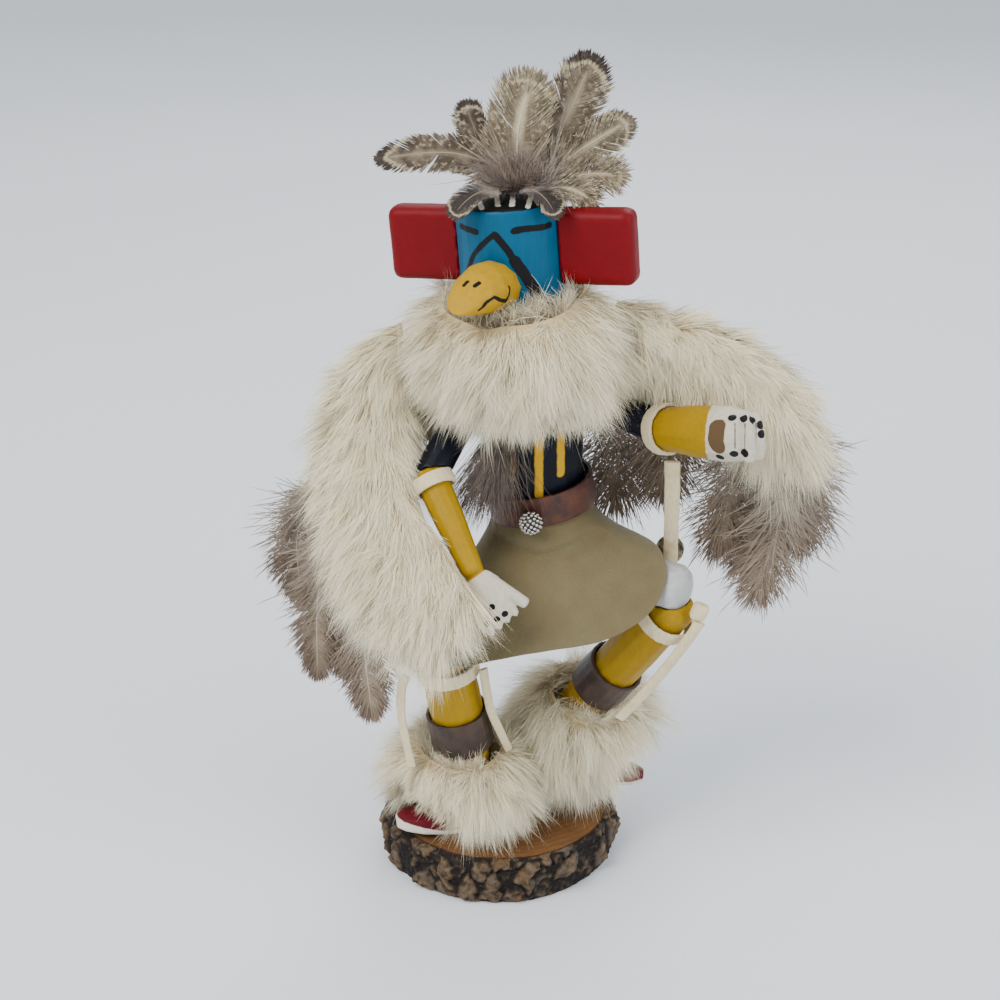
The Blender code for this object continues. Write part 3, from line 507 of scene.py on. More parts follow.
# %% [markdown]
# The figure was whittled from soft root wood and painted with a brush. Its solids are smooth and
# faceted, so each one is copied and remeshed into even little squares. A smoothing pass rounds the
# corners, and a faint cloud texture leaves the flats of a knife.

# %% Whittled wood
KNIFE = bpy.data.textures.new("knife flats", "CLOUDS")
KNIFE.noise_scale = 0.006
KNIFE.noise_depth = 1


def whittled(node, square, rounds=4, depth=0.00018):
    """A CAD solid as carved wood: even squares, soft corners and shallow knife flats."""
    piece = copied(node, node + "_carved")
    applied(piece, "REMESH", mode="VOXEL", voxel_size=square, use_smooth_shade=True)
    applied(piece, "SMOOTH", factor=0.5, iterations=rounds)
    applied(piece, "DISPLACE", texture=KNIFE, texture_coords="LOCAL", strength=depth, mid_level=0.5)
    return piece


def edge_wear(piece, radius=2):
    """Stores on each point how sharply the surface turns outwards there, for worn paint."""
    mesh = piece.data
    count = len(mesh.vertices)
    places = np.empty(count * 3)
    normals = np.empty(count * 3)
    mesh.vertices.foreach_get("co", places)
    mesh.vertex_normals.foreach_get("vector", normals)
    places, normals = places.reshape(-1, 3), normals.reshape(-1, 3)
    ends = np.empty(len(mesh.edges) * 2, int)
    mesh.edges.foreach_get("vertices", ends)
    a, b = ends.reshape(-1, 2).T
    along = places[b] - places[a]
    span = np.maximum(np.linalg.norm(along, axis=1), 1e-9)
    fall = np.zeros(count)
    links = np.zeros(count)
    np.add.at(fall, a, -np.einsum("ij,ij->i", along, normals[a]) / span)
    np.add.at(fall, b, np.einsum("ij,ij->i", along, normals[b]) / span)
    np.add.at(links, a, 1)
    np.add.at(links, b, 1)
    turn = fall / np.maximum(links, 1)
    for _ in range(radius):
        spread = np.zeros(count)
        np.add.at(spread, a, turn[b])
        np.add.at(spread, b, turn[a])
        turn = (turn + spread / np.maximum(links, 1)) / 2
    mesh.attributes.new("turn", "FLOAT", "POINT").data.foreach_set("value", turn)
    return piece


print("knives are sharp")

# %% [markdown]
# The paint is flat poster paint, brushed on by hand. It has faint streaks along the stroke, soft
# lumps where it was thick, and bare wood or a darker undercoat where it has worn off at an edge. A
# painted mark is the distance from a few points of the surface, with a shaky edge.

# %% Brushed paint
BARE_WOOD = linear(176, 128, 78)


class Paint(Finish):
    """Hand-brushed paint over carved wood, to which painted marks are added."""

    def __init__(self, name, light, dark, streaks=(1, 1, 0.15), roughness=0.5, wear=1.0, specular=0.16):
        super().__init__(name, roughness, specular=specular)
        brush = self.noise(0.0011, 4.0, stretch=streaks)
        thick = self.noise(0.0045, 2.0)
        self.colour = self.mix(brush * 0.65 + thick * 0.35, dark, light)
        self.brush = brush
        self.thick = thick
        chipped = self.attribute("turn") + (self.noise(0.0016, 4.0) - 0.5) * 0.22
        self.chips = chipped.step(0.30, 0.36) * wear
        self.shake = (self.noise(0.0022, 3.0) - 0.5) * 0.0007
        self.roughness = roughness

    def far_from(self, *points):
        """How far each place of the surface is from a line through some points."""
        nearest = None
        for start, end in zip(points, points[1:]):
            run = end - start
            offset = self.vector("SUBTRACT", self.place, start)
            share = self.vector("DOT_PRODUCT", offset, run / run.length_squared, output="Value").clamped()
            foot = self.node("VectorMath", {"operation": "SCALE"}, {0: run, "Scale": share})
            gap = self.vector("DISTANCE", offset, foot, output="Value")
            nearest = gap if nearest is None else nearest.least(gap)
        return nearest

    def line(self, colour, points, width, soft=0.00012):
        """Paints a line through some points of the surface."""
        gap = self.far_from(*points) + self.shake
        self.colour = self.mix(1 - gap.step(width / 2 - soft, width / 2 + soft), self.colour, colour)

    def dot(self, colour, centre, radius, soft=0.00012):
        """Paints a round dot."""
        gap = self.vector("DISTANCE", self.place, centre, output="Value") + self.shake * 0.6
        self.colour = self.mix(1 - gap.step(radius - soft, radius + soft), self.colour, colour)

    def beyond(self, colour, start, direction, soft=0.00015, shade=None):
        """Paints all that lies past a plane; shade is the paint's thin-place colour."""
        offset = self.vector("SUBTRACT", self.place, start)
        past = self.vector("DOT_PRODUCT", offset, direction.normalized(), output="Value") + self.shake
        top = self.mix(self.brush, shade, colour) if shade else colour
        self.colour = self.mix(past.step(-soft, soft), self.colour, top)

    def dried(self, under=BARE_WOOD, depth=0.00025):
        """Finishes the paint: wears its edges, and gives it brush marks and its sheen."""
        colour = self.mix(self.chips, self.colour, under)
        rise = self.brush * 0.7 + self.thick * 0.6 - self.chips * 0.5
        rough = self.brush * 0.18 + (self.roughness - 0.09) + self.chips * 0.25
        return self.wear(colour=colour, roughness=rough, bump=self.height(rise, 0.45, depth))


BLACK = linear(16, 15, 18)
CHALK = linear(212, 205, 188)
print("paint is mixed")

# %% [markdown]
# The mask is a turquoise cylinder. Two black eye slits and a black chevron are brushed on its
# front. The flat top is black, with short white strokes that fan out like lashes.

# %% The mask
MASK_LEAN = math.radians(-4.5)
MASK_AXIS = Vector((math.sin(MASK_LEAN), 0, math.cos(MASK_LEAN)))
MASK_FOOT = spot(5.6, 0, 166.3)
MASK_HEIGHT = 38.4 * MM

mask = edge_wear(whittled("mask", 0.55 * MM, rounds=3, depth=0.00014))
MASK_PAINT = Paint("turquoise_paint", linear(0, 91, 124), linear(0, 71, 100), roughness=0.42)
EYE_SLITS = (
    [(461, 226), (467, 229), (476, 232)],
    [(514, 231), (524, 229), (538, 228), (550, 225)],
)
CHEVRON_THIN = [(494, 235), (484, 243), (475, 253), (469, 266), (466, 278), (465, 290)]
CHEVRON_THICK = [(495, 235), (505, 247), (515, 261), (526, 277), (537, 294), (547, 311)]
for slit in EYE_SLITS:
    MASK_PAINT.line(BLACK, traced("mask", slit), 1.9 * MM)
MASK_PAINT.line(BLACK, traced("mask", CHEVRON_THIN), 1.7 * MM)
MASK_PAINT.line(BLACK, traced("mask", CHEVRON_THICK[:4]), 2.2 * MM)
MASK_PAINT.line(BLACK, traced("mask", CHEVRON_THICK[2:]), 3.4 * MM)
MASK_PAINT.beyond(BLACK, MASK_FOOT + MASK_AXIS * (MASK_HEIGHT - 0.5 * MM), MASK_AXIS)
LASHES = (
    [(482, 209), (478, 198)],
    [(498, 206), (496, 192)],
    [(512, 206), (513, 191)],
    [(528, 207), (532, 193)],
    [(543, 210), (549, 199)],
)
for lash in LASHES:
    MASK_PAINT.line(CHALK, traced("mask", lash), 1.6 * MM)
placed(mask, MASK_PAINT.dried(under=linear(30, 60, 80)), "mask")

# %% [markdown]
# The two tabs are red, a little darker where the brush ran thin, and their edges have worn pale.
# The beak is yellow, with black nostrils and a wavy black mouth line.

# %% Tabs and beak
EAR_PAINT = Paint("red_paint", linear(120, 0, 13), linear(95, 0, 9), streaks=(0.3, 1, 1), roughness=0.48)
EAR_PAINT.dried(under=linear(214, 96, 104))
for side in ("right", "left"):
    ear = edge_wear(whittled("ear_" + side, 0.5 * MM, rounds=3))
    placed(ear, EAR_PAINT, "ear_" + side)

beak = edge_wear(whittled("beak", 0.32 * MM, rounds=5, depth=0.0003))
BEAK_PAINT = Paint("beak_yellow", linear(190, 150, 22), linear(152, 114, 12), roughness=0.45, wear=0.4)
NOSTRILS = ([(464, 285), (467, 282)], [(475, 286), (479, 283)])
MOUTH = [(479, 310), (487, 302), (494, 297), (500, 300), (506, 301), (509, 296), (509, 287)]
for nostril in NOSTRILS:
    BEAK_PAINT.line(BLACK, traced("beak", nostril), 1.3 * MM)
BEAK_PAINT.line(BLACK, traced("beak", MOUTH), 1.15 * MM)
placed(beak, BEAK_PAINT.dried(under=BARE_WOOD), "beak")

# %% [markdown]
# The body is deep navy, with three yellow stripes down the front and soft edges to them. The upper
# arms have the same navy paint.

# %% Torso and upper arms
torso = edge_wear(whittled("torso", 0.6 * MM))
TORSO_PAINT = Paint("navy_paint", linear(8, 14, 28), linear(3, 6, 15), roughness=0.4, wear=0.5)
STRIPES = (
    [(510, 400), (511, 440), (511, 478)],
    [(538, 400), (539, 450), (539, 495)],
    [(561, 400), (561, 440), (561, 473)],
)
for stripe in STRIPES:
    TORSO_PAINT.line(linear(206, 158, 10), traced("torso", stripe), 2.6 * MM, 0.0003)
placed(torso, TORSO_PAINT.dried(under=linear(70, 62, 60)), "torso")

NAVY = Paint("navy_arm_paint", linear(8, 14, 28), linear(3, 6, 15), roughness=0.4, wear=0.5)
NAVY.dried(under=linear(70, 62, 60))
for side in ("right", "left"):
    arm = edge_wear(whittled("upper_arm_" + side, 0.5 * MM))
    placed(arm, NAVY, "upper_arm_" + side)

# %% [markdown]
# Both lower arms are yellow and end in a white hand with black dots: an open hand on the doll's
# right, and a fist on its left whose cut end shows bare wood in a ring of white paint.

# %% Hands
YELLOW_LIGHT = linear(174, 138, 4)
YELLOW_DARK = linear(134, 101, 2)

right_hand = edge_wear(whittled("forearm_right", 0.34 * MM, rounds=3, depth=0.0001))
HAND_PAINT = Paint("right_arm_paint", YELLOW_LIGHT, YELLOW_DARK, roughness=0.45, wear=0.4)
RIGHT_WRIST = spot(-7.0, -41, 101.5)
RIGHT_DOWN = spot(-3, -43, 96) - spot(-8, -40, 102.5)
HAND_PAINT.beyond(CHALK, RIGHT_WRIST, RIGHT_DOWN, shade=linear(174, 164, 144))
NAILS = ((492, 607), (505, 614), (497, 619), (487, 624), (479, 630))
for u, v in NAILS:
    HAND_PAINT.dot(BLACK, on_surface("forearm_right", u, v), 1.0 * MM)
placed(right_hand, HAND_PAINT.dried(), "forearm_right")

left_hand = edge_wear(whittled("forearm_left", 0.4 * MM, rounds=3, depth=0.00012))
FIST_PAINT = Paint("left_arm_paint", YELLOW_LIGHT, YELLOW_DARK, streaks=(0.2, 1, 1), roughness=0.45, wear=0.4)
FIST_START = on_surface("forearm_left", 705, 436)
FIST_PAINT.beyond(CHALK, FIST_START, Vector((0.95, -0.30, 0.05)), shade=linear(174, 164, 144))
WOOD_PATCH = traced("forearm_left", ((717, 428), (716, 436), (717, 445)))
FIST_PAINT.line(linear(88, 68, 44), WOOD_PATCH, 5.6 * MM)
FIST_DOTS = ((732, 417), (743, 418), (752, 420), (761, 425), (720, 457), (734, 454), (745, 453), (762, 434))
for u, v in FIST_DOTS:
    FIST_PAINT.dot(BLACK, on_surface("forearm_left", u, v), 1.3 * MM)
# Grey lines along the three finger grooves: painted shade in the grooves.
for u in (735, 745, 756):
    groove_shade = [on_surface("forearm_left", u, v) for v in (424, 432, 440, 448)]
    FIST_PAINT.line(linear(120, 112, 104), groove_shade, 0.5 * MM)
placed(left_hand, FIST_PAINT.dried(), "forearm_left")

# %% [markdown]
# The thighs are streaky white and the shins yellow. The moccasins are dark red, with a white sole
# that is thicker under the toe.

# %% Legs and moccasins
THIGH_PAINT = Paint("white_paint", linear(204, 204, 200), linear(150, 150, 150), streaks=(0.15, 0.2, 1),
                    wear=0.3)
THIGH_PAINT.dried(under=linear(150, 148, 146))
SHIN_PAINT = Paint("shin_yellow", YELLOW_LIGHT, YELLOW_DARK, streaks=(1, 1, 0.12), roughness=0.42, wear=0.3)
SHIN_PAINT.dried()
for side in ("right", "left"):
    thigh = edge_wear(whittled("thigh_" + side, 0.55 * MM))
    placed(thigh, THIGH_PAINT, "thigh_" + side)
    shin = edge_wear(whittled("shin_" + side, 0.55 * MM))
    placed(shin, SHIN_PAINT, "shin_" + side)

MOCCASIN_PAINT = Paint("maroon_paint", linear(104, 18, 30), linear(70, 8, 18), roughness=0.5, wear=0.5)
SOLE_TOP = BASE_TOP + 3.0 * MM
up_from = MOCCASIN_PAINT.node("SeparateXYZ", None, {0: MOCCASIN_PAINT.place}, output=2)
toe_share = MOCCASIN_PAINT.node("SeparateXYZ", None, {0: MOCCASIN_PAINT.place}).step(-16 * MM, -34 * MM)
under_toe = up_from + MOCCASIN_PAINT.shake - toe_share * 3.2 * MM
sole = 1 - under_toe.step(SOLE_TOP - 0.15 * MM, SOLE_TOP + 0.15 * MM)
MOCCASIN_PAINT.colour = MOCCASIN_PAINT.mix(sole, MOCCASIN_PAINT.colour, CHALK)
MOCCASIN_PAINT.dried(under=linear(120, 84, 60))
for side in ("right", "left"):
    foot = edge_wear(whittled("moccasin_" + side, 0.45 * MM))
    placed(foot, MOCCASIN_PAINT, "moccasin_" + side)

# %% [markdown]
# The stand is a slice of a branch. Its sawn top shows rings and darker stains inside a dark line
# of inner bark. The bark itself has split into chunky plates. Each point of the side is pushed in
# or out by a cell pattern, and the same value is kept on the mesh to paint shade in the cracks as
# near black. The pattern's wander starts from a random offset unless it is given a seed.

# %% The log slice
LOG_RADIUS = 39.0 * MM
WOOD_RADIUS = 0.90 * LOG_RADIUS
PLATE_SIZE = 6.4 * MM
CRACK_DEPTH = 2.6 * MM
BARK_SEED = 7
PITH = Vector((0.004, 0.006, 0))
RING_WIDTH = 0.0022

noise.seed_set(BARK_SEED)
log = copied("base_slice", "log_slice")
applied(log, "REMESH", mode="VOXEL", voxel_size=0.62 * MM, use_smooth_shade=True)
applied(log, "SMOOTH", factor=0.5, iterations=2)


def bark_height(place):
    """How high the bark stands at a place, from 0 in a crack to 1 on a plate."""
    wander = noise.noise_vector(place / (3.2 * MM)) * 1.7 * MM
    around = place + wander
    gaps, cells = noise.voronoi(Vector((around.x, around.y, around.z * 0.50)) / PLATE_SIZE)
    edge = min((gaps[1] - gaps[0]) / 0.35, 1.0)
    tall = 0.55 + 0.45 * noise.cell(cells[0] * 7.3)
    rough = 0.30 * noise.fractal(place / (1.5 * MM), 1.0, 2.0, 4)
    return max(0.0, min(1.0, edge**0.6 * tall + rough))


bark = np.zeros(len(log.data.vertices))
rims = np.zeros(len(log.data.vertices))
for i, vertex in enumerate(log.data.vertices):
    place = vertex.co.copy()
    reach = math.hypot(place.x, place.y)
    turn = math.atan2(place.y, place.x)
    edge = LOG_RADIUS * (1 + 0.013 * math.sin(2 * turn + 0.6) + 0.008 * math.sin(5 * turn + 2.1))
    inner = WOOD_RADIUS * (1 + 0.02 * noise.noise(Vector((place.x, place.y, 0)) / (7 * MM)))
    rims[i] = min(max((reach - inner) / (0.5 * MM), 0), 1)
    tall = bark_height(place)
    bark[i] = tall
    near_edge = min(max((reach - inner) / (edge - inner), 0), 1)
    if near_edge > 0.2:
        push = (tall - 0.75) * CRACK_DEPTH * near_edge**1.5
        vertex.co.x += place.x / reach * push
        vertex.co.y += place.y / reach * push
        if place.z > BASE_TOP * 0.8:
            vertex.co.z -= (1 - tall) * 0.9 * MM * near_edge
log.data.attributes.new("bark_height", "FLOAT", "POINT").data.foreach_set("value", bark)
log.data.attributes.new("bark_side", "FLOAT", "POINT").data.foreach_set("value", rims)
log.data.update()

LOG = Finish("log_wood", roughness=0.75, specular=0.25)
flat_place = LOG.vector("MULTIPLY", LOG.place, Vector((1, 1, 0)))
centre_gap = LOG.vector("DISTANCE", flat_place, PITH, output="Value")
rings = (centre_gap + LOG.noise(0.012, 2.0) * 0.0035) * (math.tau / RING_WIDTH)
rings = rings.sum("SINE", rings) * 0.5 + 0.5
grain = LOG.noise(0.0008, 5.0)
blotch = LOG.noise(0.014, 3.0)
sawn = LOG.mix(rings * 0.35 + grain * 0.4, linear(122, 86, 50), linear(96, 64, 36))
sawn = LOG.mix(blotch.step(0.45, 0.75) * 0.6, sawn, linear(92, 58, 31))
stains = LOG.noise(0.0035, 4.0, shift=(5, 2, 0), warp=1.5)
sawn = LOG.mix(stains.step(0.56, 0.72) * 0.5, sawn, linear(76, 48, 27))
tall = LOG.attribute("bark_height")
flakes = LOG.noise(0.0022, 5.0)
crust = LOG.mix(flakes.step(0.3, 0.7), linear(46, 34, 25), linear(106, 88, 66))
crust = LOG.mix(LOG.noise(0.005, 3.0).step(0.50, 0.66) * 0.7, crust, linear(100, 74, 48))
crust = LOG.mix(LOG.noise(0.007, 3.0, shift=(2, 7, 4)).step(0.54, 0.68) * 0.7, crust, linear(82, 76, 68))
# Near black in the cracks between the plates: painted shade.
crust = LOG.mix(1 - tall.step(0.10, 0.62), crust, linear(20, 14, 10))
side_share = LOG.attribute("bark_side")
dark_line = side_share.step(0.05, 0.5) * (1 - side_share.step(0.85, 1.0))
wood = LOG.mix(side_share.step(0.6, 0.95), sawn, crust)
wood = LOG.mix(dark_line * 0.8, wood, linear(46, 28, 18))
relief = grain * (1 - side_share) * 0.25 + flakes * side_share + tall * 0.5
LOG.wear(colour=wood, bump=LOG.height(relief, 0.7, 0.0006), roughness=grain * 0.2 + 0.62)
placed(log, LOG, "base_slice")

# %% [markdown]
# The kilt is one piece of soft olive suede, gathered under the belt and spread over the knees. Its
# solid is already a thin skin, so a copy of it is squared up, subdivided and dented a little. It is
# stiff, so nothing is simulated.

# %% The kilt
kilt = copied("kilt", "suede_kilt")
work_on(kilt)
bpy.ops.object.mode_set(mode="EDIT")
bpy.ops.mesh.select_all(action="SELECT")
bpy.ops.mesh.tris_convert_to_quads(face_threshold=math.radians(60), shape_threshold=math.radians(70))
bpy.ops.object.mode_set(mode="OBJECT")
applied(kilt, "SUBSURF", levels=3, render_levels=3)
DENTS = bpy.data.textures.new("suede dents", "CLOUDS")
DENTS.noise_scale = 0.016
applied(kilt, "DISPLACE", texture=DENTS, texture_coords="LOCAL", direction="Y", strength=0.0016,
        mid_level=0.5)
CREASES = (
    ([(498, 541), (516, 551), (538, 560), (566, 553), (600, 536)], 2.6 * MM),
    ([(545, 566), (566, 575), (596, 571)], 1.4 * MM),
    ([(590, 600), (622, 580), (650, 572)], 1.3 * MM),
)
for marks, depth in CREASES:
    valley = smooth_path(traced("kilt", marks), 30)
    for vertex in kilt.data.vertices:
        gap = min((vertex.co - point).length for point in valley)
        vertex.co.y += depth * math.exp(-((gap / (2.3 * MM)) ** 2))
kilt.data.shade_smooth()

SUEDE = Finish("suede", roughness=0.95, specular=0.1, sheen=0.2)
nap = SUEDE.noise(0.00045, 4.0)
soft = SUEDE.noise(0.007, 3.0)
wide = SUEDE.noise(0.022, 2.0)
olive = SUEDE.mix(nap * 0.6 + soft * 0.4, linear(88, 79, 55), linear(128, 117, 86))
olive = SUEDE.mix(wide.step(0.45, 0.72) * 0.5, olive, linear(102, 87, 57))
SUEDE.wear(colour=olive, bump=SUEDE.height(nap + soft * 0.8, 0.6, 0.0003))
placed(kilt, SUEDE, "kilt")

skin = sum(face.area for face in kilt.data.polygons) / 2
print("the kilt's leather covers", round(skin / MM**2), "square mm")

# %% [markdown]
# The belt and the shin bands are brown hide: smooth and a little glossy, pale where the knife cut
# the top edge. The arm bands and knee ties are the same soft cream hide as the laces.

# %% Bands
HIDE = Finish("brown_hide", roughness=0.5, specular=0.4, coat=0.08)
pores = HIDE.cells(0.0007)
scuffs = HIDE.noise(0.005, 4.0)
height_up = HIDE.node("SeparateXYZ", None, {0: HIDE.place}, output=2)
on_belt = height_up.step(BASE_TOP + 85 * MM, BASE_TOP + 86 * MM)
dark = HIDE.mix(on_belt, linear(36, 23, 17), linear(50, 22, 10))
light = HIDE.mix(on_belt, linear(66, 45, 34), linear(88, 44, 22))
brown = HIDE.mix(scuffs.step(0.3, 0.7), dark, light)
brown = HIDE.mix(HIDE.attribute("turn").step(0.16, 0.30) * 0.6, brown, linear(132, 98, 66))
ribs = HIDE.noise(0.0006, 3.0, stretch=(1, 1, 0.12))
relief = pores + scuffs * 2 + ribs
HIDE.wear(colour=brown, roughness=scuffs * 0.3 + 0.36, bump=HIDE.height(relief, 0.4, 0.0002))
for node in ("belt", "shin_band_right", "shin_band_left"):
    band = edge_wear(whittled(node, 0.3 * MM, rounds=1, depth=0.0003), radius=1)
    placed(band, HIDE, node)
for node in ("arm_band_right", "arm_band_left", "knee_tie_right", "knee_tie_left", "knee_knot_left"):
    band = whittled(node, 0.26 * MM, rounds=1, depth=0.0004)
    placed(band, CREAM_HIDE, node)

# %% [markdown]
# The fur is rabbit or something like it: fine cream hair, up to 18 mm long, on a thin hide. Hair
# particles can't be kept in a finished model, so each hair is a real ribbon of three short faces
# that narrows to a point. Roots are scattered over a slimmed copy of the solid. Each hair leans
# from the skin's normal towards the way the fur was combed, and neighbours lean together in locks.
# Lengths vary, and a few strays are longer, but a cap keeps every hair near its solid.

# %% Growing hair
HAIR_STATIONS = np.array([0.0, 0.34, 0.68, 1.0])
HAIR_TAPER = np.array([1.0, 0.85, 0.55])
LONGEST_HAIR = 1.35
STRAY_SHARE = 0.10
STRAY_LENGTH = 1.25
SHORT_LENGTH = 0.3


def unit(vectors):
    """Rows of numbers as directions of length one."""
    return vectors / np.maximum(np.linalg.norm(vectors, axis=1, keepdims=True), 1e-9)


def slimmed(node, name, shrink, square=1.5 * MM):
    """The hide under the fur: a smooth copy of the solid, drawn in all round."""
    skin = copied(node, name)
    applied(skin, "REMESH", mode="VOXEL", voxel_size=square, use_smooth_shade=True)
    applied(skin, "SMOOTH", factor=0.5, iterations=14)
    applied(skin, "DISPLACE", strength=-shrink, mid_level=0.0)
    applied(skin, "SMOOTH", factor=0.5, iterations=4)
    return skin


def scattered(skin, count, random):
    """Random places on a skin, evenly by area, and the way out of the skin at each."""
    mesh = skin.data
    mesh.calc_loop_triangles()
    corners = np.empty(len(mesh.loop_triangles) * 3, int)
    mesh.loop_triangles.foreach_get("vertices", corners)
    corners = corners.reshape(-1, 3)
    places = np.empty(len(mesh.vertices) * 3)
    mesh.vertices.foreach_get("co", places)
    outs = np.empty(len(mesh.vertices) * 3)
    mesh.vertex_normals.foreach_get("vector", outs)
    places, outs = places.reshape(-1, 3), outs.reshape(-1, 3)
    a, b, c = (places[corners[:, k]] for k in range(3))
    areas = np.linalg.norm(np.cross(b - a, c - a), axis=1)
    picked = random.choice(len(corners), count, p=areas / areas.sum())
    u, v = random.random((2, count, 1))
    over = u + v > 1
    u, v = np.where(over, 1 - u, u), np.where(over, 1 - v, v)
    shares = (1 - u - v, u, v)
    roots = sum(places[corners[picked, k]] * shares[k] for k in range(3))
    return roots, unit(sum(outs[corners[picked, k]] * shares[k] for k in range(3)))


def open_to_air(roots, outs, neighbours, reach, rim):
    """Which roots have no neighbouring solid close above them, but for those on an upper rim."""
    free = np.ones(len(roots), bool)
    for node in neighbours:
        solid = ray_target(node)
        for i in np.flatnonzero(free):
            gap = solid.ray_cast(Vector(roots[i]), Vector(outs[i]), reach)[3]
            on_rim = rim and outs[i, 2] > 0.15
            if gap is not None and not (on_rim and gap > reach * 0.3):
                free[i] = False
    return free


def nearest_of(places, centres):
    """The number of the nearest centre to each place."""
    found = np.empty(len(places), int)
    for start in range(0, len(places), 2000):
        part = places[start : start + 2000]
        gaps = ((part[:, None, :] - centres[None, :, :]) ** 2).sum(axis=2)
        found[start : start + 2000] = gaps.argmin(axis=1)
    return found


def ribbons(name, lines, outs, width, twist, shades, taper=HAIR_TAPER):
    """One mesh of narrow ribbons: lines is (hairs, stations, 3)."""
    hairs = len(lines)
    along = unit((lines[:, -1] - lines[:, 0]))
    across = unit(np.cross(along, outs))
    upright = np.cross(across, along)
    across = across * np.cos(twist)[:, None] + upright * np.sin(twist)[:, None]
    stations = lines.shape[1]
    places = np.empty((hairs, 2 * stations - 1, 3))
    for k in range(stations - 1):
        half = across * (width * taper[k] / 2)[:, None]
        places[:, 2 * k] = lines[:, k] - half
        places[:, 2 * k + 1] = lines[:, k] + half
    places[:, -1] = lines[:, -1]
    first = np.arange(hairs)[:, None] * (2 * stations - 1)
    quads = [first + np.array([[2 * k, 2 * k + 1, 2 * k + 3, 2 * k + 2]]) for k in range(stations - 2)]
    tips = first + np.array([[2 * stations - 4, 2 * stations - 3, 2 * stations - 2]])
    faces = np.concatenate(quads).tolist() + tips.tolist()
    mesh = bpy.data.meshes.new(name)
    mesh.from_pydata(places.reshape(-1, 3).tolist(), [], faces)
    mesh.update()
    grown = np.repeat(HAIR_STATIONS[:-1], 2).tolist() + [1.0]
    mesh.attributes.new("grown", "FLOAT", "POINT").data.foreach_set("value", np.tile(grown, hairs))
    per_hair = np.repeat(shades, 2 * stations - 1)
    mesh.attributes.new("lock", "FLOAT", "POINT").data.foreach_set("value", per_hair)
    soft = unit(np.repeat(outs + 0.35 * upright, 2 * stations - 1, axis=0))
    mesh.shade_smooth()
    mesh.normals_split_custom_set_from_vertices(soft.tolist())
    piece = bpy.data.objects.new(name, mesh)
    bpy.context.scene.collection.objects.link(piece)
    return piece


def fur(name, skin, count, length, flow, seed, width=0.13 * MM, lift=0.40, locks=60, pinch=0.32, fuzz=0.17,
        droop=0.30, neighbours=(), reach=5 * MM, rim=False, under=1.0, short=()):
    """Grows hair on a skin and joins the two: flow gives the combed way from roots and outward ways."""
    random = np.random.default_rng(seed)
    roots, outs = scattered(skin, int(count * 1.8), random)
    free = open_to_air(roots, outs, neighbours, reach, rim)
    roots, outs = roots[free][:count], outs[free][:count]
    hairs = len(roots)
    combed = unit(flow(roots, outs))
    aim = unit(outs * lift + combed)
    heads = max(hairs // locks, 2)
    lock = nearest_of(roots, roots[:heads])
    lock_sway = random.normal(0, 0.17, (heads, 3))
    lock_size = random.uniform(0.78, 1.18, heads)
    aim = unit(aim + lock_sway[lock] + random.normal(0, fuzz, (hairs, 3)))
    size = length * lock_size[lock] * random.uniform(0.65, 1.15, hairs)
    size = size * (1 - (1 - under) * np.clip(-outs[:, 2] * 1.6, 0, 1))
    for middle, span in short:
        near = np.linalg.norm(roots - np.array(middle), axis=1) < span
        size = np.where(near, size * SHORT_LENGTH, size)
    stray = random.random(hairs) < STRAY_SHARE
    size = np.minimum(np.where(stray, size * STRAY_LENGTH, size), length * LONGEST_HAIR)
    fall =np.array([0.0, 0.0, -droop]) + random.normal(0, 0.16, (hairs, 3)) + lock_sway[lock] * 0.6
    lines = np.empty((hairs, len(HAIR_STATIONS), 3))
    for k, t in enumerate(HAIR_STATIONS):
        lines[:, k] = roots + size[:, None] * (aim * t + fall * t * t)
    hold = np.where(stray, 0.1, pinch)[:, None] * random.uniform(0.6, 1.2, (hairs, 1))
    for k, t in enumerate(HAIR_STATIONS):
        lines[:, k] += (lines[lock, k] - lines[:, k]) * hold * t**1.4
    twist = random.uniform(-1.1, 1.1, hairs)
    wide = width * random.uniform(0.7, 1.3, hairs)
    shades = np.clip(random.normal(0.5, 0.16, heads)[lock] + random.normal(0, 0.10, hairs), 0, 1)
    coat = ribbons(name, lines, outs, wide, twist, shades)
    bpy.context.view_layer.update()
    work_on(skin)
    coat.select_set(True)
    bpy.context.view_layer.objects.active = coat
    bpy.ops.object.join()
    print(name, hairs, "hairs in", heads, "locks")
    return coat


def coat_finish(name, root, middle, tip, sheen=0.3):
    """A finish for hair: darker at the root as painted shade deep in the coat, lighter to the tip, with locks
    that differ a little.
    """
    hair = Finish(name, roughness=0.75, specular=0.25, sheen=sheen)
    grown = hair.attribute("grown")
    # The colour at the root is painted shade deep in the coat; the bare skin under the hair gets it too.
    stops = {"stops": [(0.0, root), (0.45, middle), (1.0, tip)]}
    colour = hair.node("ValToRGB", stops, {0: grown})
    lock = hair.attribute("lock")
    darker = hair.mix(1.0, colour, middle, blend="MULTIPLY")
    colour = hair.mix((0.55 - lock).clamped() * 0.6, colour, darker)
    stain = hair.noise(0.012, 2.0).step(0.50, 0.78)
    colour = hair.mix(stain * 0.22, colour, darker)
    return hair.wear(colour=colour)


# The first colour is darker as painted shade at the roots and on the skin under the hair.
WHITE_FUR = coat_finish("white_fur", linear(198, 180, 138), linear(245, 233, 198), linear(253, 245, 218))
print("fur can grow")

# %% [markdown]
# The ruff lies round the neck: its hair spreads out from the mask and falls over the chest.

# %% The ruff
RUFF_CENTRE = spot(4.8, -4.0, 160.0)


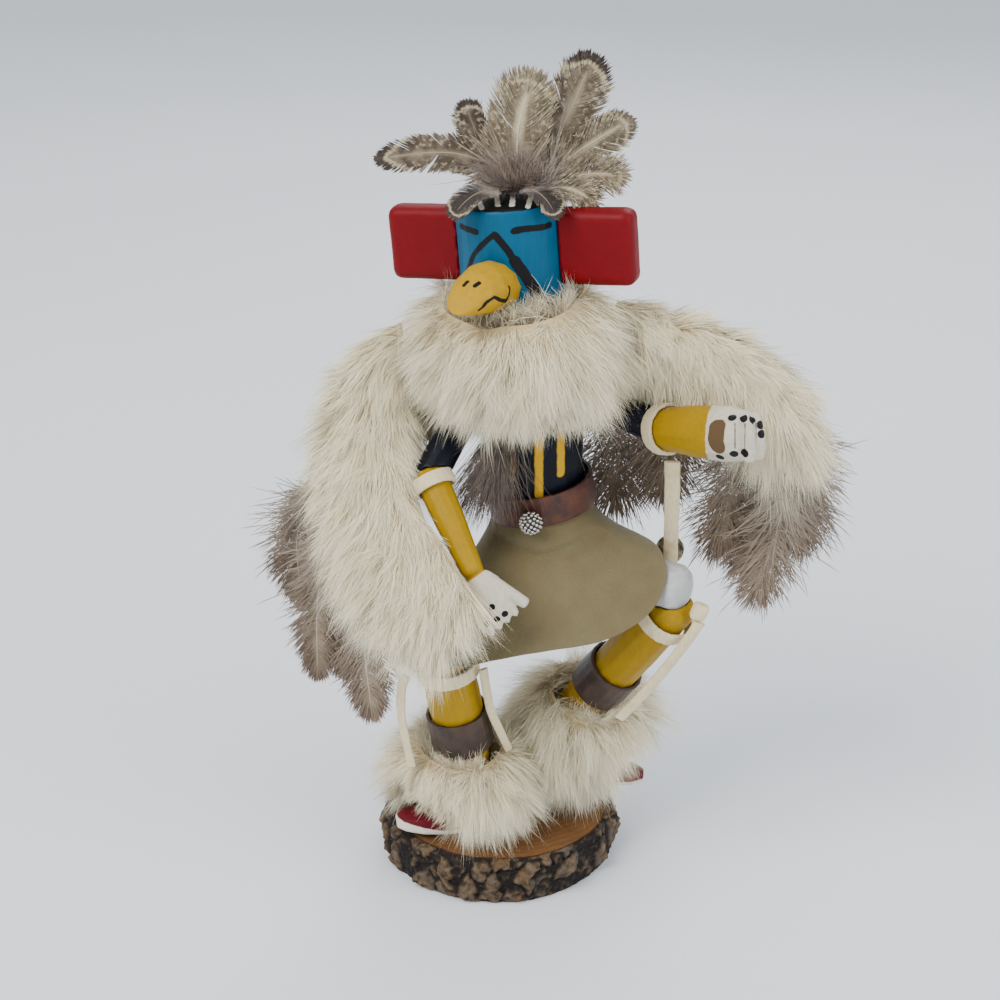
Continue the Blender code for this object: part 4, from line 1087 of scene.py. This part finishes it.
def collar_flow(centre, low, high, inner, outer, spread, fall, stand):
    """Up beside the core that a ring of fur goes round, and out and down further away."""
    middle = np.array(centre)
    start = np.array(low)
    core = unit(np.array([high - low]))

    def flow(places, outs):
        away = places - middle
        away[:, 2] = 0
        away = unit(away)
        reach = places - start
        far = np.linalg.norm(reach - (reach @ core.T) * core, axis=1, keepdims=True)
        facing_out = (outs * away).sum(axis=1, keepdims=True)
        rise = np.clip((outer - far) / (outer - inner), 0, 1) * np.clip(1.1 - 1.3 * facing_out, 0, 1)
        rise = np.maximum(rise, np.clip(stand - 1.4 * facing_out, 0, 1))
        down = np.array([[0.0, 0.0, -fall]])
        return away * (spread - 1.15 * spread * rise) + core * rise * 1.3 + down * (1 - rise)

    return flow


RUFF_NEIGHBOURS = ("torso", "mask", "beak", "upper_arm_right", "upper_arm_left")
ruff_skin = slimmed("fur_ruff", "ruff_skin", 4.0 * MM)
ruff_flow = collar_flow(RUFF_CENTRE, spot(5.6, 0, 150), spot(4.0, 0, 190), 17 * MM, 21 * MM, 0.75, 0.9, 0.62)
ruff = fur("fur_ruff_hair", ruff_skin, 36000, 12.5 * MM, ruff_flow, 11, width=0.155 * MM, fuzz=0.22,
           neighbours=RUFF_NEIGHBOURS, rim=True, under=0.45)
placed(ruff, WHITE_FUR, "fur_ruff")

# %% [markdown]
# A strip of the same fur stands for each wing. It runs from the shoulder over the arm. Its hair is
# combed along the strip and outwards, so the outer edge is a soft fringe.

# %% Wings
RIGHT_WING = [
    (-19, 1, 159),
    (-29, 1, 156),
    (-38, -5, 143),
    (-39.5, -18, 125),
    (-32.5, -33, 106.5),
    (-21.0, -44, 94.0),
    (-10.5, -49.5, 87.5),
]
LEFT_WING = [
    (25, 1, 160),
    (36, 1, 162),
    (50, -3, 159),
    (67, -11, 154),
    (81, -18, 144),
    (87, -21, 129),
]


def wing_flow(points, outward, along_share, out_share):
    """A flow along a strip, and away from its middle towards one side."""
    path = np.array([tuple(p) for p in smooth_path([spot(*point) for point in points], 40)])
    heading = unit(np.gradient(path, axis=0))
    side = np.array(outward)

    def flow(places, outs):
        k = nearest_of(places, path)
        away = unit(places - path[k])
        return heading[k] * along_share + (away * 0.6 + side * 0.5) * out_share

    return flow


right_skin = slimmed("fur_wing_right", "right_wing_skin", 3.6 * MM)
right_flow = wing_flow(RIGHT_WING, (-0.9, -0.3, -2.0), 0.25, 0.75)
RIGHT_NEIGHBOURS = ("forearm_right", "upper_arm_right", "torso", "kilt")
right_wing = fur("fur_wing_right_hair", right_skin, 36000, 11 * MM, right_flow, 12, width=0.165 * MM,
                 neighbours=RIGHT_NEIGHBOURS, reach=2.2 * MM)
placed(right_wing, WHITE_FUR, "fur_wing_right")

left_skin = slimmed("fur_wing_left", "left_wing_skin", 3.6 * MM)
left_flow = wing_flow(LEFT_WING, (0.5, -0.3, -1.6), 0.6, 0.75)
LEFT_NEIGHBOURS = ("forearm_left", "upper_arm_left", "torso")
left_wing = fur("fur_wing_left_hair", left_skin, 36000, 11.5 * MM, left_flow, 13, width=0.16 * MM,
                neighbours=LEFT_NEIGHBOURS, reach=2.2 * MM)
placed(left_wing, WHITE_FUR, "fur_wing_left")

# %% [markdown]
# Cuffs of fur cover the ankles. Their hair stands out further and falls to the log.

# %% Cuffs
TOE_ROOM = 13 * MM
CUFFS = (
    ("right", spot(-12.5, -9.5, 17), spot(-8.5, -13.5, 11), spot(-17, -20, 64), spot(-26, -25, 14),
     30000, 12 * MM),
    ("left", spot(26.0, 8.0, 24), spot(11.5, 12.5, 11), spot(53.5, -24.5, 84), spot(44, 4, 14),
     36000, 13.5 * MM),
)
for seed, (side, centre, ankle, knee, toe, count, long) in enumerate(CUFFS):
    cuff_skin = slimmed("fur_cuff_" + side, side + "_cuff_skin", 3.8 * MM)
    name = "fur_cuff_" + side + "_hair"
    around = ("base_slice", "shin_" + side, "moccasin_" + side)
    flow = collar_flow(centre, ankle, knee, 12.5 * MM, 19 * MM, 0.9, 0.8, 0.75)
    cuff = fur(name, cuff_skin, count, long, flow, 21 + seed, neighbours=around, droop=0.25, rim=True,
               under=0.65, short=[(toe, TOE_ROOM)])
    placed(cuff, WHITE_FUR, "fur_cuff_" + side)

# %% [markdown]
# A feather is a stiff shaft with barbs on both sides. The barbs start wide at the foot and lean
# towards the tip, and lie side by side as two vanes that split here and there. Near the foot they
# come loose and turn to down. Each barb is a ribbon like a hair, so the same tools make it.

# %% Growing feathers
SHAFT_STATIONS = 40
VANE_TAPER = np.array([0.9, 1.0, 0.9])
VANE_STATIONS = np.array([0.0, 0.42, 0.86, 1.0])
POINTS_PER_BARB = 2 * len(VANE_STATIONS) - 1
SHAFT_RADIUS = 0.34 * MM


def between(rows, shares):
    """Rows read at shares from 0 to 1 along them."""
    at = np.clip(shares, 0, 1) * (len(rows) - 1)
    low = np.minimum(at.astype(int), len(rows) - 2)
    part = (at - low)[:, None]
    return rows[low] * (1 - part) + rows[low + 1] * part


def vane_width(s):
    """The half width of a vane from its foot to its tip, as a share of the widest."""
    opening = np.minimum(1, (s / 0.22) ** 0.7)
    closing = 1 - np.clip((s - 0.66) / 0.34, 0, 1) ** 2.4
    return opening * np.sqrt(closing)


def plume(name, points, width, facing, seed, barbs=170, loose=0.28, splits=4, stray=0.05, cup=0.12, curl=0.30,
          tone=0.5, down=80, down_length=8 * MM, wild_share=0.45, down_width=0.13 * MM):
    """One feather along a path: its shaft, its two vanes and the down at its foot."""
    random = np.random.default_rng(seed)
    path = np.array([tuple(p) for p in smooth_path(points, SHAFT_STATIONS)])
    length = np.linalg.norm(np.diff(path, axis=0), axis=1).sum()
    headings = unit(np.gradient(path, axis=0))
    sides = unit(np.cross(headings, np.array(facing)[None, :]))
    outs = unit(np.cross(sides, headings))
    half = width / 2
    lead = 0.95 * half / length
    last = 1 - 0.8 * lead
    lines, faces_out, widths, marks = [], [], [], []
    for side in (-1, 1):
        s = 1 - (1 - np.linspace(0.03, 1.0, barbs)) ** 1.35
        at = np.clip(s - lead * np.clip(s / 0.25, 0, 1), 0, 1)
        group = np.searchsorted(np.sort(random.uniform(0.15, 0.95, splits)), s)
        middles = np.array([s[group == g].mean() if (group == g).any() else 0.5 for g in range(splits + 1)])
        wide = half * vane_width(s)
        forward = (s - at) * length
        lean = np.arctan2(wide, forward) + random.normal(0, 0.05, splits + 1)[group]
        size = np.hypot(wide, forward)
        size = size * random.uniform(0.94, 1.03, barbs)
        downy = 1 - np.clip((s - loose * 0.7) / (loose * 0.6 + 0.01), 0, 1)
        wild = downy * wild_share + stray
        jitter = random.normal(0, 1, (barbs, 3)) * wild[:, None]
        size = size * (1 + downy * random.uniform(-0.25, wild_share, barbs))
        foot, ahead, aside, out = (between(rows, at) for rows in (path, headings, sides, outs))
        way = ahead * np.cos(lean)[:, None] + side * aside * np.sin(lean)[:, None] + jitter
        pull = (middles[group] - s) * length * 0.10 * (1 - downy)
        barb = np.empty((barbs, len(VANE_STATIONS), 3))
        bend = random.normal(0, 1, (barbs, 3)) * wild[:, None] * 0.8 + ahead * curl + out * cup
        way = way - ahead * curl
        for k, u in enumerate(VANE_STATIONS):
            barb[:, k] = foot + (way * u + bend * u * u) * size[:, None] + ahead * (pull * u * u)[:, None]
        lines.append(barb)
        faces_out.append(out)
        gap = np.hypot(np.gradient(wide), np.gradient(s * length) * np.sin(lean))
        widths.append(np.where(downy > 0.5, down_width, np.clip(gap * 3.0, 0.30 * MM, 0.85 * MM)))
        marks.append(np.stack([at, np.full(barbs, float(side))], axis=1))
    spread = random.uniform(0.0, 0.30, down)
    foot, ahead, aside, out = (between(rows, spread) for rows in (path, headings, sides, outs))
    way = ahead * 0.5 + aside * random.normal(0, 0.9, (down, 1)) + random.normal(0, 0.35, (down, 3))
    way = unit(way) * (down_length * random.uniform(0.6, 1.2, down))[:, None]
    bend = random.normal(0, 0.3, (down, 3)) * down_length
    tuft = np.stack([foot + way * u + bend * u * u for u in VANE_STATIONS], axis=1)
    lines.append(tuft)
    faces_out.append(out)
    widths.append(np.full(down, 0.12 * MM))
    marks.append(np.stack([spread * 0.3, random.uniform(-0.4, 0.4, down)], axis=1))
    lines, faces_out = np.concatenate(lines), np.concatenate(faces_out)
    widths, marks = np.concatenate(widths), np.concatenate(marks)
    count = len(lines)
    shades = np.clip(random.normal(0.5, 0.15, count), 0, 1)
    vanes = ribbons(name, lines, faces_out, widths, random.normal(0, 0.16, count), shades, VANE_TAPER)
    grown = np.tile(np.repeat(VANE_STATIONS[:-1], 2).tolist() + [1.0], count)
    along = np.repeat(marks[:, 0], POINTS_PER_BARB) + grown * lead
    across = np.repeat(marks[:, 1], POINTS_PER_BARB) * grown
    tones = np.full(len(along), tone)
    for key, values in (("along", along), ("across", across), ("tone", tones)):
        vanes.data.attributes.new(key, "FLOAT", "POINT").data.foreach_set("value", values)
    turns = np.arange(6) * math.tau / 6
    section = [(SHAFT_RADIUS * math.cos(a), SHAFT_RADIUS * math.sin(a)) for a in turns]
    thin = [1.0 - 0.78 * i / (SHAFT_STATIONS - 1) for i in range(SHAFT_STATIONS)]
    stem_path = [Vector(p) for p in between(path, np.linspace(0, last, SHAFT_STATIONS))]
    shaft = carried(name + "_shaft", stem_path, section, Vector(facing), thin)
    shaft.data.shade_smooth()
    for key, value in (("shaft", 1.0), ("tone", tone)):
        values = np.full(len(shaft.data.vertices), value)
        shaft.data.attributes.new(key, "FLOAT", "POINT").data.foreach_set("value", values)
    work_on(shaft)
    vanes.select_set(True)
    bpy.context.view_layer.objects.active = vanes
    bpy.ops.object.join()
    return vanes


print("feathers can grow")

# %% [markdown]
# The crown feathers are barred game bird feathers. Their colour runs from pale grey down at the foot
# to grey brown, with cream flecks, a cream line that follows the rim and a dark fringe outside it.

# %% Crown and brow feathers
BARRED = Finish("barred_feather", roughness=0.62, specular=0.35, sheen=0.15)
along, across, tone = (BARRED.attribute(key) for key in ("along", "across", "tone"))
far_out = across.sum("ABSOLUTE", across)
rim = ((along - 0.50).most(0.0) * 1.9) ** 2.0 + far_out * far_out * 0.66
patches = BARRED.noise(0.0052, 3.0)
flecks = BARRED.noise(0.0014, 2.0, shift=(3, 1, 2))
brown = BARRED.mix(tone, linear(122, 107, 80), linear(64, 50, 41))
pale = BARRED.mix(tone, linear(164, 149, 120), linear(112, 96, 82))
vane = BARRED.mix(patches.step(0.40, 0.64), brown, pale)
vane = BARRED.mix(flecks.step(0.52, 0.66) * far_out.step(0.15, 0.5) * 0.6, vane, linear(206, 192, 162))
streak = (1 - far_out.step(0.05, 0.26)) * along.step(0.25, 0.45)
vane = BARRED.mix(streak * (1 - tone) * 0.8, vane, linear(222, 206, 168))
leaf = tone.step(0.92, 0.99)
vane = BARRED.mix(leaf * (1 - far_out.step(0.55, 0.85)) * 0.85, vane, linear(38, 29, 24))
rim = rim + (patches - 0.5) * 0.35 * (1 - leaf)
soot = BARRED.mix(flecks, linear(30, 23, 20), linear(72, 57, 47))
vane = BARRED.mix(rim.step(0.86, 1.0) * tone.step(0.2, 0.6) * 0.9, vane, soot)
cream_line = rim.step(0.66, 0.74) * (1 - rim.step(0.82, 0.92))
vane = BARRED.mix(cream_line * 0.7, vane, linear(206, 189, 150))
vane = BARRED.mix(1 - along.step(0.12, 0.36), vane, linear(150, 136, 124))
darker = BARRED.mix(BARRED.attribute("lock"), linear(185, 185, 185), linear(255, 255, 255))
vane = BARRED.mix(0.6, vane, darker, blend="MULTIPLY")
quill = BARRED.mix(tone, linear(226, 214, 190), linear(128, 108, 88))
BARRED.wear(colour=BARRED.mix(BARRED.attribute("shaft"), vane, quill))

FRONT = (0.0, -1.0, 0.0)
FRAYED = ("crown_feather_6", "crown_feather_7")
CROWN = (
    ("crown_feather_1", [(6, 6, 209), (-14, 8, 215.5), (-38, 9, 213.5)], 11.5, 0.75, FRONT),
    ("crown_feather_2", [(5, 8.5, 210), (-6, 11, 220), (-10.5, 12, 230)], 10.5, 0.90, FRONT),
    ("crown_feather_3", [(5, 6, 208), (5.5, 7.5, 224), (10.6, 6.5, 242.6)], 20.5, 0.12, FRONT),
    ("crown_feather_4", [(10, 10, 208), (20.5, 12.5, 227), (27.5, 12.5, 244.5)], 17.0, 0.62, FRONT),
    ("crown_feather_5", [(12, 6, 209), (26, 8, 218), (39.5, 8, 226.5)], 12.5, 0.42, FRONT),
    ("crown_feather_6", [(12, 2.5, 208), (26, 3, 210.5), (38, 4, 209.5)], 11.0, 0.22, FRONT),
    ("crown_feather_7", [(11, -1, 207.5), (21, -3.5, 207.5), (29, -4.5, 202.5)], 9.0, 0.35, (0.2, -1.0, 0.6)),
)
for seed, (node, points, width, tone, facing) in enumerate(CROWN):
    frayed = 0.14 if node in FRAYED else 0.035
    places = [spot(*point) for point in points]
    blade = plume(node + "_vane", places, width * MM, facing, 40 + seed, barbs=210, stray=frayed, tone=tone,
                  splits=3)
    placed(blade, BARRED, node)

BROWS = (
    ("right", (-0.5, -0.8, 0.9),
     [(-0.5, -5.5, 208), (-6.5, -11, 208.2), (-10.8, -14.6, 205.8), (-13.4, -16.2, 202.2)]),
    ("left", (0.5, -0.8, 0.9),
     [(7, -6.5, 208.5), (11, -12, 208.6), (14.2, -15.2, 206), (16, -16.8, 202.2)]),
)
for seed, (side, facing, points) in enumerate(BROWS):
    places = [spot(*point) for point in points]
    blade = plume("brow_" + side + "_vane", places, 9.0 * MM, facing, 60 + seed, barbs=170, loose=0.08,
                  splits=1, stray=0.02, cup=0.04, tone=1.0, down=24, down_length=3 * MM)
    placed(blade, BARRED, "brow_feather_" + side)

# %% [markdown]
# The feathers under the wings are downy all the way. Their barbs are long and loose, pale where
# they leave the shaft and brown at their ends.

# %% Downy wing feathers
DOWNY = Finish("downy_feather", roughness=0.8, specular=0.2, sheen=0.35)
grown, along = DOWNY.attribute("grown"), DOWNY.attribute("along")
near_shaft = DOWNY.mix(along.step(0.1, 0.8), linear(200, 187, 168), linear(164, 146, 124))
fringe = DOWNY.mix(along.step(0.1, 0.8), linear(174, 158, 140), linear(134, 115, 98))
down = DOWNY.mix(grown.step(0.1, 0.8), near_shaft, fringe)
down = DOWNY.mix(DOWNY.noise(0.011, 2.0).step(0.46, 0.70) * 0.5, down, linear(106, 86, 72))
darker = DOWNY.mix(DOWNY.attribute("lock"), linear(170, 170, 170), linear(255, 255, 255))
down = DOWNY.mix(0.7, down, darker, blend="MULTIPLY")
DOWNY.wear(colour=DOWNY.mix(DOWNY.attribute("shaft"), down, linear(196, 180, 160)))

VANE_SPREAD = 1.2
WING_FEATHERS = (
    ("right_1", [(-50, -16, 106), (-56, -17, 84), (-57.5, -17, 51)], 11.5),
    ("right_2", [(-40, -21, 96), (-42, -21, 70), (-40, -21, 40)], 12.0),
    ("right_3", [(-56, -7, 116), (-63, -6, 98), (-62, -5, 72)], 13.0),
    ("right_4", [(-46, -11, 100), (-50, -10, 76), (-48, -9, 48)], 13.0),
    ("right_5", [(-36, 7, 146), (-24, 8.5, 136), (-9, 10.5, 126)], 15.0),
    ("left_1", [(88, -17, 134), (84.5, -17, 108), (77, -18, 78)], 14.0),
    ("left_2", [(91, -12, 136), (93.5, -11, 114), (90, -10, 92)], 13.0),
    ("left_3", [(75, -7, 142), (71, -6, 116), (67, -6, 90)], 15.0),
    ("left_4", [(83, -5, 138), (81, -4, 110), (75, -3, 82)], 14.0),
    ("left_5", [(35, 12, 154), (38.5, 15, 126), (35, 17, 92)], 20.0),
    ("left_6", [(51, 6, 152), (53, 7, 128), (49, 8, 102)], 15.0),
)
for seed, (side, points, width) in enumerate(WING_FEATHERS):
    places = [spot(*point) for point in points]
    name = "wing_" + side + "_vane"
    loose = 0.7 if side.startswith("right") else 1.0
    blade = plume(name, places, width * VANE_SPREAD * MM, FRONT, 80 + seed, barbs=560, loose=loose,
                  splits=6, stray=0.07, cup=0.0, curl=0.45, down=300, down_length=6.5 * MM,
                  wild_share=0.20, down_width=0.26 * MM)
    placed(blade, DOWNY, "wing_feather_" + side)

# %% [markdown]
# A puff of brown down hides the feathers' feet, and a lock of long dark hair hangs from the ruff
# beside the chest.

# %% Tufts
DARK_DOWN = Finish("dark_down", roughness=0.8, specular=0.2, sheen=0.3)
puff = DARK_DOWN.mix(DARK_DOWN.attribute("grown"), linear(92, 74, 60), linear(160, 140, 118))
puff = DARK_DOWN.mix(DARK_DOWN.noise(0.006, 2.0).step(0.40, 0.62), puff, linear(100, 80, 72))
DARK_DOWN.wear(colour=puff)
PUFF_CENTRE = np.array(spot(5.1, 3.0, 204.1))


def puff_flow(places, outs):
    """Out from the middle of the puff, and up."""
    return unit(places - PUFF_CENTRE) + np.array([0, -0.1, 0.35])


puff_skin = slimmed("crown_tuft", "crown_tuft_skin", 2.5 * MM, square=1.0 * MM)
tuft = fur("crown_tuft_down", puff_skin, 4200, 9 * MM, puff_flow, 31, width=0.12 * MM, lift=0.4, locks=30,
           pinch=0.2, fuzz=0.35, droop=0.0)
placed(tuft, DARK_DOWN, "crown_tuft")

GREY_HAIR = Finish("grey_hair", roughness=0.55, specular=0.4)
long_hair = GREY_HAIR.mix(GREY_HAIR.attribute("lock"), linear(40, 33, 30), linear(112, 97, 86))
GREY_HAIR.wear(colour=long_hair)
LOCK_COUNT = 900
random = np.random.default_rng(77)
LOCK_PATH = (spot(1, -16.5, 140), spot(-4, -22.5, 124), spot(-8, -25, 108))
strip = np.array([tuple(place) for place in smooth_path(LOCK_PATH, 24)])
starts = random.uniform(0.0, 0.45, LOCK_COUNT)
ends = np.clip(starts + random.uniform(0.35, 0.75, LOCK_COUNT), 0, 1.06)
lanes = random.normal(0, 0.42, LOCK_COUNT)
fans = 5 * MM + 12 * MM * HAIR_STATIONS
hanging = np.empty((LOCK_COUNT, len(HAIR_STATIONS), 3))
for k, t in enumerate(HAIR_STATIONS):
    hanging[:, k] = between(strip, starts + (ends - starts) * t)
    hanging[:, k, 0] += lanes * fans[k] + random.normal(0, 0.6 * MM, LOCK_COUNT)
    hanging[:, k, 1] += random.normal(0, 0.5 * MM, LOCK_COUNT)
side_out = np.tile([[-0.2, -1.0, 0.2]], (LOCK_COUNT, 1))
thin = random.uniform(0.10, 0.22, LOCK_COUNT) * MM
side_lock = ribbons("side_tuft_hair", hanging, unit(side_out), thin, random.uniform(-0.8, 0.8, LOCK_COUNT),
                    random.random(LOCK_COUNT))
placed(side_lock, GREY_HAIR, "side_tuft")

# %% [markdown]
# The belt's bead is a ball of soldered silver grains. The bell behind the thong is a small crotal
# of dull brass with a slot below.

# %% Bead and bell
GRAIN_COUNT = 74
GRAIN_RADIUS = 0.56 * MM
bead_low, bead_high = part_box("belt_bead")
bead_middle = (bead_low + bead_high) / 2
bead_radius = (bead_high.z - bead_low.z) / 2
bpy.ops.mesh.primitive_ico_sphere_add(subdivisions=3, radius=bead_radius - 0.75 * MM)
bead = bpy.context.object
bead.name = "belt_bead_grains"
grains = [bead]
for i in range(GRAIN_COUNT):
    z = 1 - 2 * (i + 0.5) / GRAIN_COUNT
    turn = i * math.pi * (3 - math.sqrt(5))
    ring = math.sqrt(1 - z * z)
    way = Vector((ring * math.cos(turn), ring * math.sin(turn), z))
    bpy.ops.mesh.primitive_ico_sphere_add(subdivisions=2, radius=GRAIN_RADIUS,
                                          location=way * (bead_radius - GRAIN_RADIUS))
    grains.append(bpy.context.object)
for grain in grains:
    grain.select_set(True)
bpy.context.view_layer.objects.active = bead
bpy.ops.object.join()
bead.data.transform(Matrix.Translation(bead_middle))
bead.data.shade_smooth()
SILVER = Finish("silver_grains", roughness=0.32, metallic=1.0)
deep = SILVER.vector("DISTANCE", SILVER.place, tuple(bead_middle), output=1)
bright = deep.step(bead_radius - 0.9 * MM, bead_radius - 0.25 * MM)
silver = SILVER.mix(bright, linear(40, 37, 34), linear(206, 202, 194))
SILVER.wear(colour=silver, roughness=0.55 - bright * 0.25)
placed(bead, SILVER, "belt_bead")

bell = copied("elbow_bell", "elbow_bell_shell")
bell.data.set_sharp_from_angle(angle=math.radians(40))
BRASS = Finish("bell_brass", roughness=0.5, metallic=0.85)
dull = BRASS.noise(0.0018, 4.0).step(0.38, 0.66)
BRASS.wear(colour=BRASS.mix(dull, linear(150, 132, 98), linear(84, 78, 68)), roughness=0.38 + dull * 0.3)
placed(bell, BRASS, "elbow_bell")
